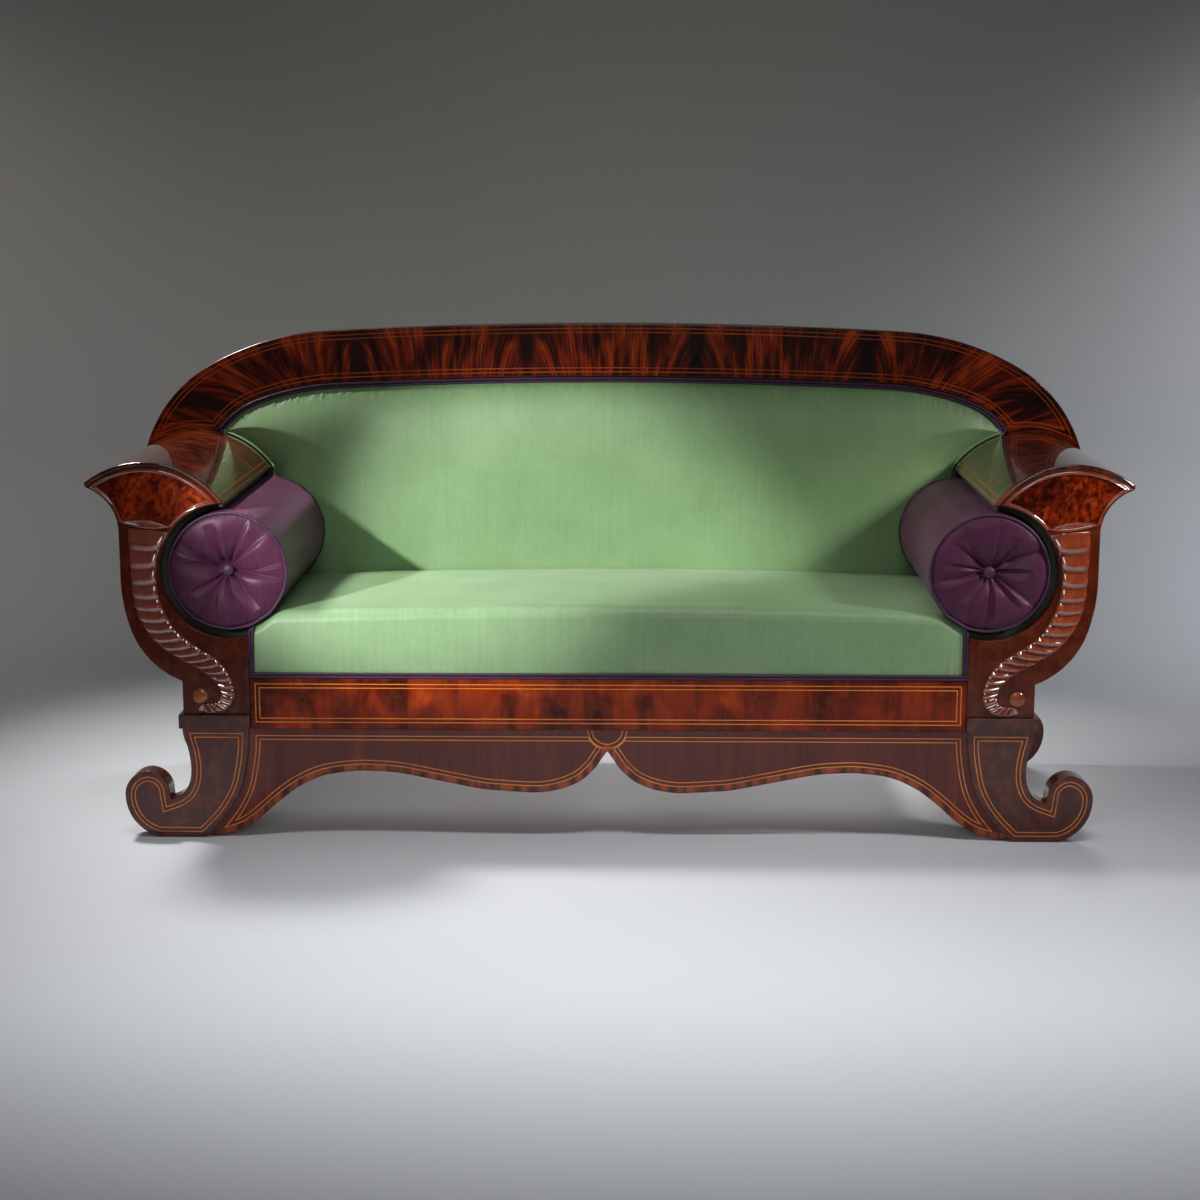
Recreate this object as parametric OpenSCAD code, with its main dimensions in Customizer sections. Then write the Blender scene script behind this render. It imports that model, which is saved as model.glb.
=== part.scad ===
// Sofa with an arched crest, scroll-over arms carved with fluted horns, scroll feet
// and two loose bolsters. Millimetres, front towards -Y, floor at Z = 0.

/* [Overall] */
// Height of the crest above the floor
crest_top = 1020; // [1010:5:1030]
// Half the clear width between the arms
seat_half = 730; // [715:5:740]
// Front faces of the arms, measured from the middle of the depth
front_y = -304; // [-310:1:-300]
// Front face of the crest and of the arm ends at the back
crest_y = 279; // [275:1:283]
// Rear face of the back frame
rear_y = 313.5; // [309.5:0.5:315.5]

/* [Base] */
// Height of the scroll feet
foot_h = 234; // [228:1:238]
// Thickness of the boards the front feet are cut from
foot_t = 48; // [44:1:50]
// Radius of the round scroll at the toe of each foot
scroll_r = 50.5; // [47:0.5:52]
// Height of the blocks between feet and arms
cap_h = 29; // [27:1:30]
// How far the blocks stand out past the arms
cap_out = 9; // [7:1:10]
// Thickness of the shaped apron
apron_t = 20; // [16:1:22]
// Radius of the half-round inlay at the middle of the apron
roundel_r = 41; // [38:1:43]

/* [Seat] */
// Thickness of the front seat rail
rail_t = 32; // [28:1:34]
// Height of the top of the seat rails
rail_top = 338; // [336:1:340]
// Height of the middle of the seat at its front edge
seat_top = 488; // [480:1:494]
// How much lower the seat lies at its sides
seat_fall = 16; // [8:1:22]
// Radius of the rounded front edge of the seat
seat_edge_r = 26; // [20:1:30]
// Radius of the piping cords
cord_r = 3; // [2.5:0.1:3.2]

/* [Arms] */
// Thickness of the front arm boards
arm_t = 30; // [26:1:32]
// Radius of the round top of the arms
arm_top_r = 194; // [192:0.5:195]
// Thickness of the bent top of the arms
arm_top_t = 10; // [8:1:11]
// Thickness of the outer arm panels
panel_t = 10; // [8:1:12]
// Radius of the round recess that holds a bolster
recess_r = 138; // [137:0.5:139]
// Ribs carved on each horn
horn_ribs = 22; // [18:1:24]
// Height of the carving above the arm board
horn_rise = 11; // [8:1:12]
// Radius of the round boss at the foot of the horn
boss_r = 16; // [14:1:17]

/* [Back] */
// Width of the crest between its outer edge and the piping
crest_w = 119; // [115:1:122]
// How far the back upholstery swells forward
back_swell = 36; // [26:1:38]
// Depth of the step that holds the back upholstery
step_d = 12; // [11:1:13]

/* [Bolsters] */
// Radius of the stuffed part of a bolster
bolster_r = 119.5; // [117:0.5:119.5]
// Pleats drawn to the button at each end of a bolster
pleats = 12; // [9:1:14]

/* [Joinery and inlay] */
// Width of the inlaid lines
line_w = 2; // [1.5:0.1:2.4]
// Depth of the grooves for the inlaid lines
line_d = 1; // [0.8:0.1:1.5]
// How far the inlaid lines stand proud
line_proud = 0.2; // [0.1:0.05:0.3]
// Gap all round the tenons in their mortises
joint_gap = 0.2; // [0.1:0.05:0.4]
// Radius of the dowels
dowel_r = 5; // [4:0.5:5]

/* [Hidden] */
$fn = 64;

mahogany = "#5a2113";
beech = "#b08d62";
boxwood = "#d8973c";
green = "#7fa276";
aubergine = "#55374f";
jute = "#a58a5e";
steel = "#8a8a88";

// Levels and planes shared by several pieces
base_z = foot_h + cap_h;
rail_y = front_y + 3;
rail_in_y = rail_y + rail_t;
arm_in_y = front_y + arm_t;
foot_y = front_y + 4;
apron_y = front_y + 12;
rail_bot = 232;
rear_rail_t = 28;
step_y = crest_y + step_d;
cover_t = 1.5;
web_t = 2;
hessian_t = 1.5;
seat_base = rail_top + 2 * web_t + hessian_t;
soft_gap = 0.3;

// Arm section: circles and corners placed from the foot of the arm's inner edge
base_c = [seat_half, base_z];
top_c = base_c + [200, 323.5];
cove_c = base_c + [349, 377];
cove_r = 95;
side_c = base_c + [-86, 282];
side_r = 340;
side_turn = -18;
hip_r = 174;
hip_c = side_c + (side_r - hip_r) * [cos(side_turn), sin(side_turn)];
arm_out_x = side_c.x + side_r;
arm_base_x = seat_half + 136;
hip_turn = -acos((arm_base_x - hip_c.x) / hip_r);
recess_drop = 27;
recess_c = [seat_half + 37, top_c.y - recess_drop];
recess_turn = -180 + acos((recess_c.x - seat_half) / recess_r);
tip_x = seat_half + 320;
under_r = arm_top_r - arm_top_t;
tip_z = top_c.y + sqrt(arm_top_r * arm_top_r - (tip_x - top_c.x) * (tip_x - top_c.x));

// Outer and inner lines of the arched crest, each of three arcs that flow together
arch_a2 = 30;
arch_r2 = 592;
arch_r3 = 320;
arch_c3 = [seat_half + 17.6, crest_top - 373.84];
inner_top = crest_top - crest_w;
inner_a2 = 21.2;
inner_r2 = 581.4;
inner_r3 = 189;
inner_c3 = [seat_half + 4.8, inner_top - 229.66];
ledge_w = 16;

// Bolster axis and length
bolster_set = [0.3, 0.3];
bolster_c = recess_c + bolster_set;
bolster_front = front_y + 4;
bolster_back = crest_y - 43;
bolster_gap = 0.5;
bolster_cord_r = 3;
cradle_r = 122.5;

// Points on a circular arc in the plane of the front, angles in degrees
function arc(c, r, a0, a1, n) = [for (i = [0:n]) let(a = a0 + (a1 - a0) * i / n) c + r * [cos(a), sin(a)]];

// Direction of a point seen from a centre
function bearing(c, p) = atan2(p.y - c.y, p.x - c.x);

// Crossing of two circles; side picks which of the two
function meet(c1, r1, c2, r2, side) =
    let(v = c2 - c1, d = norm(v), u = v / d, a = (d * d + r1 * r1 - r2 * r2) / (2 * d))
    c1 + a * u + side * sqrt(max(0, r1 * r1 - a * a)) * [-u.y, u.x];

// Smooth curve through points, with n steps between each two
function ease(a, b, c, d, t) = 0.5 * (2 * b + (c - a) * t + (2 * a - 5 * b + 4 * c - d) * t * t
    + (3 * b - a - 3 * c + d) * t * t * t);
function curve(p, n) = let(m = len(p) - 1) concat([for (i = [0:m - 1], j = [0:n - 1])
    ease(p[max(i - 1, 0)], p[i], p[i + 1], p[min(i + 2, m)], j / n)], [p[m]]);

function reversed(p) = [for (i = [len(p) - 1:-1:0]) p[i]];
function mirrored(p) = [for (q = p) [-q.x, q.y]];

// Centre of a flat top arc that meets a given shoulder arc without a kink
function top_radius(c, r, top) = (c.x * c.x + (top - c.y) * (top - c.y) - r * r) / (2 * (top - c.y - r));

// Centre of the shoulder arc that flows into the last arc at angle a2 from upright
function shoulder_centre(c3, r2, r3, a2) = c3 - (r2 - r3) * [sin(a2), cos(a2)];
arch_c2 = shoulder_centre(arch_c3, arch_r2, arch_r3, arch_a2);
inner_c2 = shoulder_centre(inner_c3, inner_r2, inner_r3, inner_a2);

// Right half of a three-centred arch from its crown to angle a3 of the last arc, drawn in by d
function arch_half(c2, r2, c3, r3, a2, a3, top, d) =
    let(r1 = top_radius(c2, r2, top), a1 = asin(c2.x / (r1 - r2)))
    concat(arc([0, top - r1], r1 - d, 90, 90 - a1, 12),
        arc(c2, r2 - d, 90 - a1, 90 - a2, 10),
        arc(c3, r3 - d, 90 - a2, a3, 16));

// Half outlines of the crest's edges, each running down to a circle round the arm top
function outer_half(d, r) = arch_half(arch_c2, arch_r2, arch_c3, arch_r3, arch_a2,
    bearing(arch_c3, meet(arch_c3, arch_r3 - d, top_c, r, 1)), crest_top, d);
function inner_half(d, r) = arch_half(inner_c2, inner_r2, inner_c3, inner_r3, inner_a2,
    bearing(inner_c3, meet(inner_c3, inner_r3 - d, top_c, r, 1)), inner_top, d);

// Height at x of a line drawn in by d from the inner edge of the crest
function on_top(c, r, x) = c.y + sqrt(max(0, r * r - (x - c.x) * (x - c.x)));
function inner_z(x, d = 0) = let(r1 = top_radius(inner_c2, inner_r2, inner_top), a1 = asin(inner_c2.x / (r1 - inner_r2)))
    x < (r1 - d) * sin(a1) ? on_top([0, inner_top - r1], r1 - d, x)
    : x < inner_c2.x + (inner_r2 - d) * sin(inner_a2) ? on_top(inner_c2, inner_r2 - d, x)
    : on_top(inner_c3, inner_r3 - d, x);

// Closed band between the crest's two edges, ends cut along a circle of radius r round the arm tops
function band(d_out, d_in, r) =
    let(o = outer_half(d_out, r), i = inner_half(d_in, r), e = o[len(o) - 1], f = i[len(i) - 1],
        cut = arc(top_c, r, bearing(top_c, e), bearing(top_c, f), 12),
        right = concat(o, [for (k = [1:11]) cut[k]], reversed(i)))
    concat(right, mirrored([for (k = [len(right) - 1:-1:0]) right[k]]));

// Right arm outline, from the inner foot round the outside to the recess; d draws the outside in
function arm_outside(d) = concat(
    arc(hip_c, hip_r - d, hip_turn, side_turn, 14),
    [for (k = [1:10]) arc(side_c, side_r - d, side_turn, 0, 10)[k]],
    arc(cove_c, cove_r + d, 180, bearing(cove_c, meet(cove_c, cove_r + d, top_c, under_r, -1)), 14));
function arm_outline(top_r, top_end) =
    let(tip = meet(recess_c, recess_r, top_c, top_r, 1))
    concat([base_c, [arm_base_x, base_z]], arm_outside(0),
        arc(top_c, top_r, top_end, bearing(top_c, tip), 28),
        arc(recess_c, recess_r, bearing(recess_c, tip), recess_turn, 40));

arm_nib = meet(recess_c, recess_r, top_c, arm_top_r, 1);

// Stands a flat outline up as a board between two depths
module board(y0, y1) translate([0, y1, 0]) rotate([90, 0, 0]) linear_extrude(y1 - y0) children();

// Round bar along the depth
module bar_y(x, z, r, y0, y1) board(y0, y1) translate([x, z]) circle(r);

// Block between two corners
module block(a, b) translate(a) cube(b - a);

// Puts its child on the right, or mirrors it to the left
module on(side) mirror([side == "left" ? 1 : 0, 0, 0]) children();
module both() { children(); mirror([1, 0, 0]) children(); }

// Closed stuffed form: a grid of points for the swelling face, and a flat back drawn in by share s
module stuffed(grid, base, s, waist) {
    m = len(grid);
    n = len(grid[0]);
    rim = concat([for (j = [0:n - 1]) [0, j]], [for (i = [1:m - 1]) [i, n - 1]],
        [for (j = [n - 2:-1:0]) [m - 1, j]], [for (i = [m - 2:-1:1]) [i, 0]]);
    k = len(rim);
    face_pts = [for (i = [0:m - 1], j = [0:n - 1]) grid[i][j]];
    mid_pts = [for (q = rim) let(p = grid[q[0]][q[1]]) [p.x, p.y, base + (p.z - base) * waist]];
    low_pts = [for (q = rim) let(p = grid[q[0]][q[1]]) [p.x * s.x, p.y * s.y, base]];
    top_faces = [for (i = [0:m - 2], j = [0:n - 2], h = [0, 1]) h == 0
        ? [i * n + j, (i + 1) * n + j, (i + 1) * n + j + 1] : [i * n + j, (i + 1) * n + j + 1, i * n + j + 1]];
    rim_id = [for (q = rim) q[0] * n + q[1]];
    wall = [for (a = [0:k - 1], h = [0, 1]) let(b = (a + 1) % k) h == 0
        ? [rim_id[a], rim_id[b], m * n + b] : [rim_id[a], m * n + b, m * n + a]];
    skirt = [for (a = [0:k - 1], h = [0, 1]) let(b = (a + 1) % k) h == 0
        ? [m * n + a, m * n + b, m * n + k + b] : [m * n + a, m * n + k + b, m * n + k + a]];
    floor_face = [for (a = [0:k - 1]) [m * n + k + a, m * n + k + (a + 1) % k, m * n + 2 * k]];
    polyhedron(concat(face_pts, mid_pts, low_pts, [[0, 0, base]]), concat(top_faces, wall, skirt, floor_face), 6);
}

// Round cord swept along points in the plane of the front, at depth y
module cord_path(p, y, r, sides) {
    m = len(p);
    ring = [for (i = [0:m - 1]) let(t = p[min(i + 1, m - 1)] - p[max(i - 1, 0)], u = t / norm(t), q = [-u.y, u.x])
        for (j = [0:sides - 1]) let(a = 360 * j / sides)
            [p[i].x + r * cos(a) * q.x, y + r * sin(a), p[i].y + r * cos(a) * q.y]];
    tube = [for (i = [0:m - 2], j = [0:sides - 1], h = [0, 1])
        let(a = i * sides + j, b = i * sides + (j + 1) % sides) h == 0
            ? [a, a + sides, b + sides] : [a, b + sides, b]];
    polyhedron(ring, concat(tube, [[for (j = [0:sides - 1]) j]],
        [[for (j = [sides - 1:-1:0]) (m - 1) * sides + j]]), 6);
}

// Seat frame: tenons are short blocks, mortises the same blocks with the joint's gap
tenon_z = [275, 325];
tenon_y = [rail_y + 8, rail_y + 20];
tenon_l = 28;
rear_tenon_y = [rear_y - 20, rear_y - 8];
side_rail_t = 28;
side_tenon_x = [seat_half - 20, seat_half - 10];
side_tenon_z = [285, 325];
side_tenon_l = 16;
module rail_tenons(y, g) both()
    block([seat_half - 1, y[0] - g, tenon_z[0] - g], [seat_half + tenon_l + g, y[1] + g, tenon_z[1] + g]);
module side_tenon(end_y, way, g) block(
    [side_tenon_x[0] - g, min(end_y - way, end_y + way * (side_tenon_l + g)), side_tenon_z[0] - g],
    [side_tenon_x[1] + g, max(end_y - way, end_y + way * (side_tenon_l + g)), side_tenon_z[1] + g]);
brace_x = 240;
brace_w = 44;
brace_z = [286, 310];
brace_tenon = 12;
module brace(g) both() block([brace_x - brace_w / 2 - g, rail_in_y - brace_tenon - g, brace_z[0] - g],
    [brace_x + brace_w / 2 + g, rear_y - rear_rail_t + brace_tenon + g, brace_z[1] + g]);

// Corner blocks under the seat and the screws that hold them
corner_leg = 62;
corner_z = [268, 330];
screw_r = 2.5;
screw_head_r = 5;
screw_z = 300;
screw_in = 18;
module corner_at(y, way) both() translate([seat_half - side_rail_t, y, corner_z[0]]) mirror([0, way < 0 ? 1 : 0, 0])
    linear_extrude(corner_z[1] - corner_z[0]) polygon([[0, 0], [0, corner_leg], [-corner_leg, 0]]);
module screw(g) {
    cylinder(r = screw_r + g, h = corner_leg / 2 + screw_in + g);
    translate([0, 0, -2]) cylinder(r = screw_head_r + g, h = 5);
}
module screws_at(y, way, g) both() {
    translate([seat_half - side_rail_t - corner_leg / 2, y + way * (corner_leg / 2), screw_z])
        rotate([way > 0 ? 90 : -90, 0, 0]) screw(g);
    translate([seat_half - side_rail_t - corner_leg / 2, y + way * 12, screw_z + 14])
        rotate([0, 90, 0]) cylinder(r = screw_r + g, h = corner_leg / 2 + 14 + g);
}
module all_screws(g) {
    screws_at(rail_in_y, 1, g);
    screws_at(rear_y - rear_rail_t, -1, g);
}

// Front outlines of the base
scroll_c = [seat_half + 213, 90];
scroll_end = -101;
function scroll_radius(a) = a < 0 ? scroll_r + 0.004 * a * a : a > 90 ? scroll_r - 8 * (a - 90) / 84 : scroll_r;
function scroll() = [for (i = [0:36]) let(a = 174 + (scroll_end - 174) * i / 36, r = scroll_radius(a))
    [scroll_c.x + r * cos(a), max(0, scroll_c.y + r * sin(a))]];
function foot_inner() = [for (p = curve([[5, foot_h], [5.3, 200], [8.5, 168], [17.5, 121], [28, 92.6],
    [44, 64], [61.3, 41], [76.5, 24.5], [92, 9], [102, 0]], 3)) [seat_half + p.x, p.y]];
function foot_outer() = [for (p = curve([[138.5, foot_h], [136.5, 212], [131, 190], [127, 168], [125.5, 147],
    [127.5, 125], [134, 107], [143, 95.5], [156, 86.5], [169, 81.5]], 3)) [seat_half + p.x, p.y]];
function foot_outline() = concat(foot_outer(), scroll(), reversed(foot_inner()));
function apron_edge() = [for (p = curve([[93, 4.5], [80, 3], [54, 6.5], [18, 19], [-14, 41], [-56, 78], [-98, 109],
    [-150, 132], [-212, 141], [-253, 141], [-305, 137], [-387, 121], [-469, 105], [-510, 101], [-572, 97.5],
    [-603, 99], [-634, 105], [-665, 117], [-685, 130], [-706, 151], [-720, 172], [-730, 185]], 3))
    [max(0, seat_half + p.x), p.y]];
function apron_side(top) = [for (p = foot_inner()) if (p.y > 9) [p.x, min(p.y, top)]];
function apron_half(top) = concat(apron_side(top), apron_edge(), [[0, top]]);
function apron_whole(top) = let(e = concat(apron_side(top), apron_edge()))
    concat(e, mirrored([for (i = [len(e) - 2:-1:0]) e[i]]));

// Where the tenons of the arms and rear stiles pass through the blocks into the feet
post_x = [seat_half + 55, seat_half + 95];
post_down = 62;
module post_tenon(y, g) block([post_x[0] - g, y[0] - g, base_z - post_down - g], [post_x[1] + g, y[1] + g, base_z + 1]);
front_post_y = [front_y + 9, front_y + 21];
rear_post_y = [rear_y - 22, rear_y - 10];

// Inlaid lines: closed loops a set distance inside an outline
module loop(d) difference() { offset(delta = -d) children(); offset(delta = -d - line_w) children(); }
module inlay(face_y, grow) board(face_y - grow, face_y + line_d) children();
module crest_lines() for (d = [10, 19]) loop(d) polygon(band(0, 0, arm_top_r + joint_gap));
module rail_lines() for (d = [10.5, 18.7]) loop(d)
    translate([-seat_half + 0.5, rail_bot + 3]) square([2 * seat_half - 1, rail_top - rail_bot - 3]);
module foot_lines() for (d = [11.5, 19.5]) loop(d) polygon(foot_outline());
module apron_lines() for (d = [13.5, 21.5]) loop(d) difference() {
    polygon(apron_half(rail_bot - 2));
    translate([0, rail_bot]) circle(roundel_r - d);
}
module roundel_lines() intersection() {
    for (r = [roundel_r, roundel_r - 8.5]) translate([0, rail_bot]) difference() { circle(r); circle(r - line_w); }
    translate([-60, rail_bot - 70]) square([120, 69]);
}

// Carved horn: matching points down its outer and inner edges, from the cuff to the curl
horn_edges = [[236, 385, 152, 376], [235, 337, 173, 335], [233.5, 287, 180, 290], [231, 247, 176, 245],
    [223, 211, 164, 211], [208, 178, 146, 180], [184, 148, 122, 155], [154, 125, 92, 134], [123, 107, 64, 116],
    [93, 90, 43, 93], [71, 70, 32, 67], [60, 49, 29, 43], [63, 31, 37, 20], [75, 23, 55, 6], [88, 23, 80, 2.5],
    [99, 21.6, 106, 8]];
// Each rib flares out to a lip, rolls over it and is cut back sharply: place along the rib and height
rib_steps = [[0, 0], [0.4, 0.5], [0.64, 1], [0.93, 0.75]];
module horn_solid() {
    steps = horn_ribs * 4;
    across = 6;
    m = len(horn_edges) - 1;
    rows = [for (i = [0:steps]) let(s = rib_steps[i % 4], share = (floor(i / 4) + s[0]) / horn_ribs,
        u = m * pow(share, 0.93), k = min(floor(u), m - 1),
        e = ease(horn_edges[max(k - 1, 0)], horn_edges[k], horn_edges[k + 1], horn_edges[min(k + 2, m)], u - k),
        a = base_c + [e[0], e[1]], b = base_c + [e[2], e[3]], w = norm(a - b), q = [a.y - b.y, b.x - a.x] / w,
        rise = horn_rise * (0.45 + 0.55 * min(1, w / 60)) * (0.5 + 0.5 * s[1]))
        for (j = [0:across]) let(v = -1 + 2 * j / across, p = (a + b) / 2 + (b - a) / 2 * v
            + q * 0.07 * w * (1 - v * v))
            [p.x, front_y - rise * sqrt(max(0, 1 - v * v)), p.y]];
    n = across + 1;
    front = [for (i = [0:steps - 1], j = [0:across - 1], h = [0, 1]) h == 0
        ? [i * n + j, (i + 1) * n + j, (i + 1) * n + j + 1] : [i * n + j, (i + 1) * n + j + 1, i * n + j + 1]];
    back = [for (i = [0:steps - 1], h = [0, 1]) h == 0
        ? [i * n, i * n + across, (i + 1) * n + across] : [i * n, (i + 1) * n + across, (i + 1) * n]];
    polyhedron(rows, concat(front, back, [[for (j = [0:across]) j]],
        [[for (j = [across:-1:0]) steps * n + j]]), 6);
}
boss_c = base_c + [99.5, 39];

// Sunk fan-shaped field above the horn and the moulding round it
cuff_out_z = base_z + 398;
cuff_in_z = base_z + 387;
cuff_sag = 9;
function on_circle(c, r, z, way) = [c.x + way * sqrt(r * r - (z - c.y) * (z - c.y)), z];
function bow(a, b, sag, n) = [for (i = [0:n]) let(t = i / n, u = (b - a) / norm(b - a))
    a + (b - a) * t + [-u.y, u.x] * 4 * sag * t * (1 - t)];
function fan(d, sag) =
    let(a = on_circle(cove_c, cove_r + d, cuff_out_z, -1), b = on_circle(recess_c, recess_r + d, cuff_in_z, 1),
        tip = meet(cove_c, cove_r + d, top_c, under_r - d, -1), nib = meet(recess_c, recess_r + d, top_c, under_r - d, 1))
    concat(arc(cove_c, cove_r + d, bearing(cove_c, a) + (bearing(cove_c, a) < 0 ? 360 : 0),
            bearing(cove_c, tip), 12),
        arc(top_c, under_r - d, bearing(top_c, tip), bearing(top_c, nib), 20),
        arc(recess_c, recess_r + d, bearing(recess_c, nib), bearing(recess_c, b), 12), bow(b, a, sag, 8));
fan_depth = 4;
fan_out = 3;
fan_in = 10;

// Depth-wise joints of the arm: short dowels from the boards into the rail and batten
rail_dowel_z = base_z + 34;
arm_rail_x = [arm_base_x - 28, arm_base_x];
module arm_dowel_holes() for (z = [rail_dowel_z]) bar_y(arm_rail_x[0] + 14, z, dowel_r, arm_in_y - 14, arm_in_y + 20);

module foot_solid(y0, y1) board(y0, y1) polygon(foot_outline());
module cap_solid(y0, y1) block([seat_half, y0, foot_h], [arm_base_x + cap_out, y1, base_z]);

module seat_rail_front() color(mahogany) difference() {
    union() {
        block([-seat_half, rail_y, rail_bot], [seat_half, rail_in_y, rail_top]);
        rail_tenons(tenon_y, 0);
    }
    both() side_tenon(rail_in_y, -1, joint_gap);
    brace(joint_gap);
    all_screws(0);
    inlay(rail_y, 0.5) rail_lines();
}
module seat_rail_rear() color(beech) difference() {
    union() {
        block([-seat_half, rear_y - rear_rail_t, rail_bot], [seat_half, rear_y, rail_top]);
        rail_tenons(rear_tenon_y, 0);
    }
    both() side_tenon(rear_y - rear_rail_t, 1, joint_gap);
    brace(joint_gap);
    all_screws(0);
}
module seat_side_rail(side) color(beech) on(side) difference() {
    union() {
        block([seat_half - side_rail_t, rail_in_y, base_z], [seat_half, rear_y - rear_rail_t, rail_top]);
        side_tenon(rail_in_y, -1, 0);
        side_tenon(rear_y - rear_rail_t, 1, 0);
    }
    all_screws(0);
}
module seat_side_rail_left() seat_side_rail("left");
module seat_side_rail_right() seat_side_rail("right");
module seat_braces() color(beech) brace(0);
module corner_blocks() color(beech) difference() {
    union() {
        corner_at(rail_in_y, 1);
        corner_at(rear_y - rear_rail_t, -1);
    }
    all_screws(0);
}
module block_screws() color(steel) all_screws(0);

module apron() color(mahogany) difference() {
    board(apron_y, apron_y + apron_t)
        polygon(apron_whole(rail_bot));
    apron_dowels();
    inlay(apron_y, 0.5) both() apron_lines();
    inlay(apron_y, 0.5) roundel_lines();
}
module apron_blocks() color(beech) for (x = [-560, -330, -110, 110, 330, 560])
    block([x - 30, apron_y + apron_t, rail_bot - 26], [x + 30, rail_in_y + 6, rail_bot]);
module apron_dowels() color(beech) both() for (z = [150, 205])
    translate([seat_half - 16, apron_y + apron_t / 2, z]) rotate([0, 90, 0]) cylinder(r = 4, h = 44);

module foot_front(side) color(mahogany) on(side) difference() {
    foot_solid(foot_y, foot_y + foot_t);
    post_tenon(front_post_y, joint_gap);
    apron_dowels();
    inlay(foot_y, 0.5) foot_lines();
}
module foot_front_left() foot_front("left");
module foot_front_right() foot_front("right");
module foot_rear(side) color(mahogany) on(side) difference() {
    foot_solid(rear_y - foot_t, rear_y);
    post_tenon(rear_post_y, joint_gap);
}
module foot_rear_left() foot_rear("left");
module foot_rear_right() foot_rear("right");
module cap_blocks_front() color(mahogany) both() difference() {
    cap_solid(front_y - cap_out, foot_y + foot_t + 2);
    post_tenon(front_post_y, joint_gap);
}
module cap_blocks_rear() color(mahogany) both() difference() {
    cap_solid(rear_y - foot_t - 6, rear_y);
    post_tenon(rear_post_y, joint_gap);
}
module plinth_mouldings() color(mahogany) both()
    block([arm_rail_x[0], foot_y + foot_t + 2, foot_h], [arm_base_x + cap_out, rear_y - foot_t - 6, base_z]);

module arm_board(side) color(mahogany) on(side) difference() {
    union() {
        board(front_y, arm_in_y) polygon(arm_outline(under_r,
            bearing(top_c, meet(cove_c, cove_r, top_c, under_r, -1))));
        post_tenon(front_post_y, 0);
    }
    rail_tenons(tenon_y, joint_gap);
    board(front_y - 1, front_y + fan_depth) polygon(fan(fan_out, -cuff_sag));
    arm_dowel_holes();
}
module arm_board_left() arm_board("left");
module arm_board_right() arm_board("right");
module arm_rail(side) color(mahogany) on(side) difference() {
    union() {
        board(arm_in_y, crest_y) polygon([[arm_rail_x[0], base_z], [arm_base_x, base_z],
            hip_c + hip_r * [cos(hip_turn), sin(hip_turn)],
            hip_c + (hip_r - panel_t) * [cos(hip_turn), sin(hip_turn)], [arm_rail_x[0], rail_top]]);
        arm_dowel_holes();
    }
}
module arm_rail_left() arm_rail("left");
module arm_rail_right() arm_rail("right");
module arm_panel(side) color(mahogany) on(side) board(arm_in_y, crest_y)
    polygon(concat(arm_outside(0), reversed(arm_outside(panel_t))));
module arm_panel_left() arm_panel("left");
module arm_panel_right() arm_panel("right");

// Bent top of an arm: a length of tube cut off at its two tips
module arm_shell(r_out, r_in, y0, y1) board(y0, y1) difference() {
    translate(top_c) circle(r_out);
    translate(top_c) circle(r_in);
}
function arm_wedge() =
    let(nib = meet(recess_c, recess_r, top_c, under_r, 1), tip = meet(cove_c, cove_r, top_c, under_r, -1))
    [top_c, nib, [recess_c.x - 20, recess_c.y + recess_r], [recess_c.x - 20, top_c.y + 220],
        [tip_x, top_c.y + 220], [tip_x, tip.y + 2], tip];
line_turns = [for (a = [2.2, 5.7]) bearing(top_c, arm_nib) - a];
module arm_line(grow) for (a = line_turns) board(arm_in_y - 20, crest_y - 12) polygon(concat(
    arc(top_c, arm_top_r + grow, a, a + 0.6, 1), arc(top_c, arm_top_r - line_d, a + 0.6, a, 1)));
module arm_top(side) color(mahogany) on(side) difference() {
    intersection() {
        arm_shell(arm_top_r, under_r, front_y, crest_y);
        board(front_y, crest_y) polygon(arm_wedge());
    }
    arm_line(1);
}
module arm_top_left() arm_top("left");
module arm_top_right() arm_top("right");
web_r = recess_r + 1.5;
module arm_battens() color(beech) both() difference() {
    intersection() {
        block([recess_c.x + 28, arm_in_y, recess_c.y + 120], [recess_c.x + 58, crest_y, recess_c.y + 190]);
        bar_y(top_c.x, top_c.y, under_r - joint_gap, arm_in_y, crest_y);
    }
    bar_y(recess_c.x, recess_c.y, web_r + joint_gap, arm_in_y - 1, crest_y + 1);
}

// Sector of a tube round the bolster's recess
module recess_shell(r_out, r_in, a_top, a_low, y0, y1) intersection() {
    board(y0, y1) difference() {
        translate(recess_c) circle(r_out);
        translate(recess_c) circle(r_in);
    }
    board(y0, y1) polygon(concat([recess_c], arc(recess_c, 2 * recess_r, a_top, a_low, 6)));
}
module arm_hessian() color(jute) both() recess_shell(web_r, recess_r, 79, -56, arm_in_y, crest_y);
lining_t = 4;
module arm_pad(side) color(green) on(side) {
    recess_shell(recess_r, cradle_r, 83, recess_turn, arm_in_y, crest_y);
    board(crest_y - lining_t, crest_y) intersection() {
        translate(recess_c) circle(recess_r - 1);
        translate([seat_half + 1, base_z]) square(2 * recess_r + top_c.y);
    }
}
module arm_pad_left() arm_pad("left");
module arm_pad_right() arm_pad("right");
module arm_piping() color(aubergine) both()
    bar_y(recess_c.x + 9, recess_c.y + recess_r - cord_r - 1.2, cord_r, front_y + 1, crest_y - lining_t - soft_gap);

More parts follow.
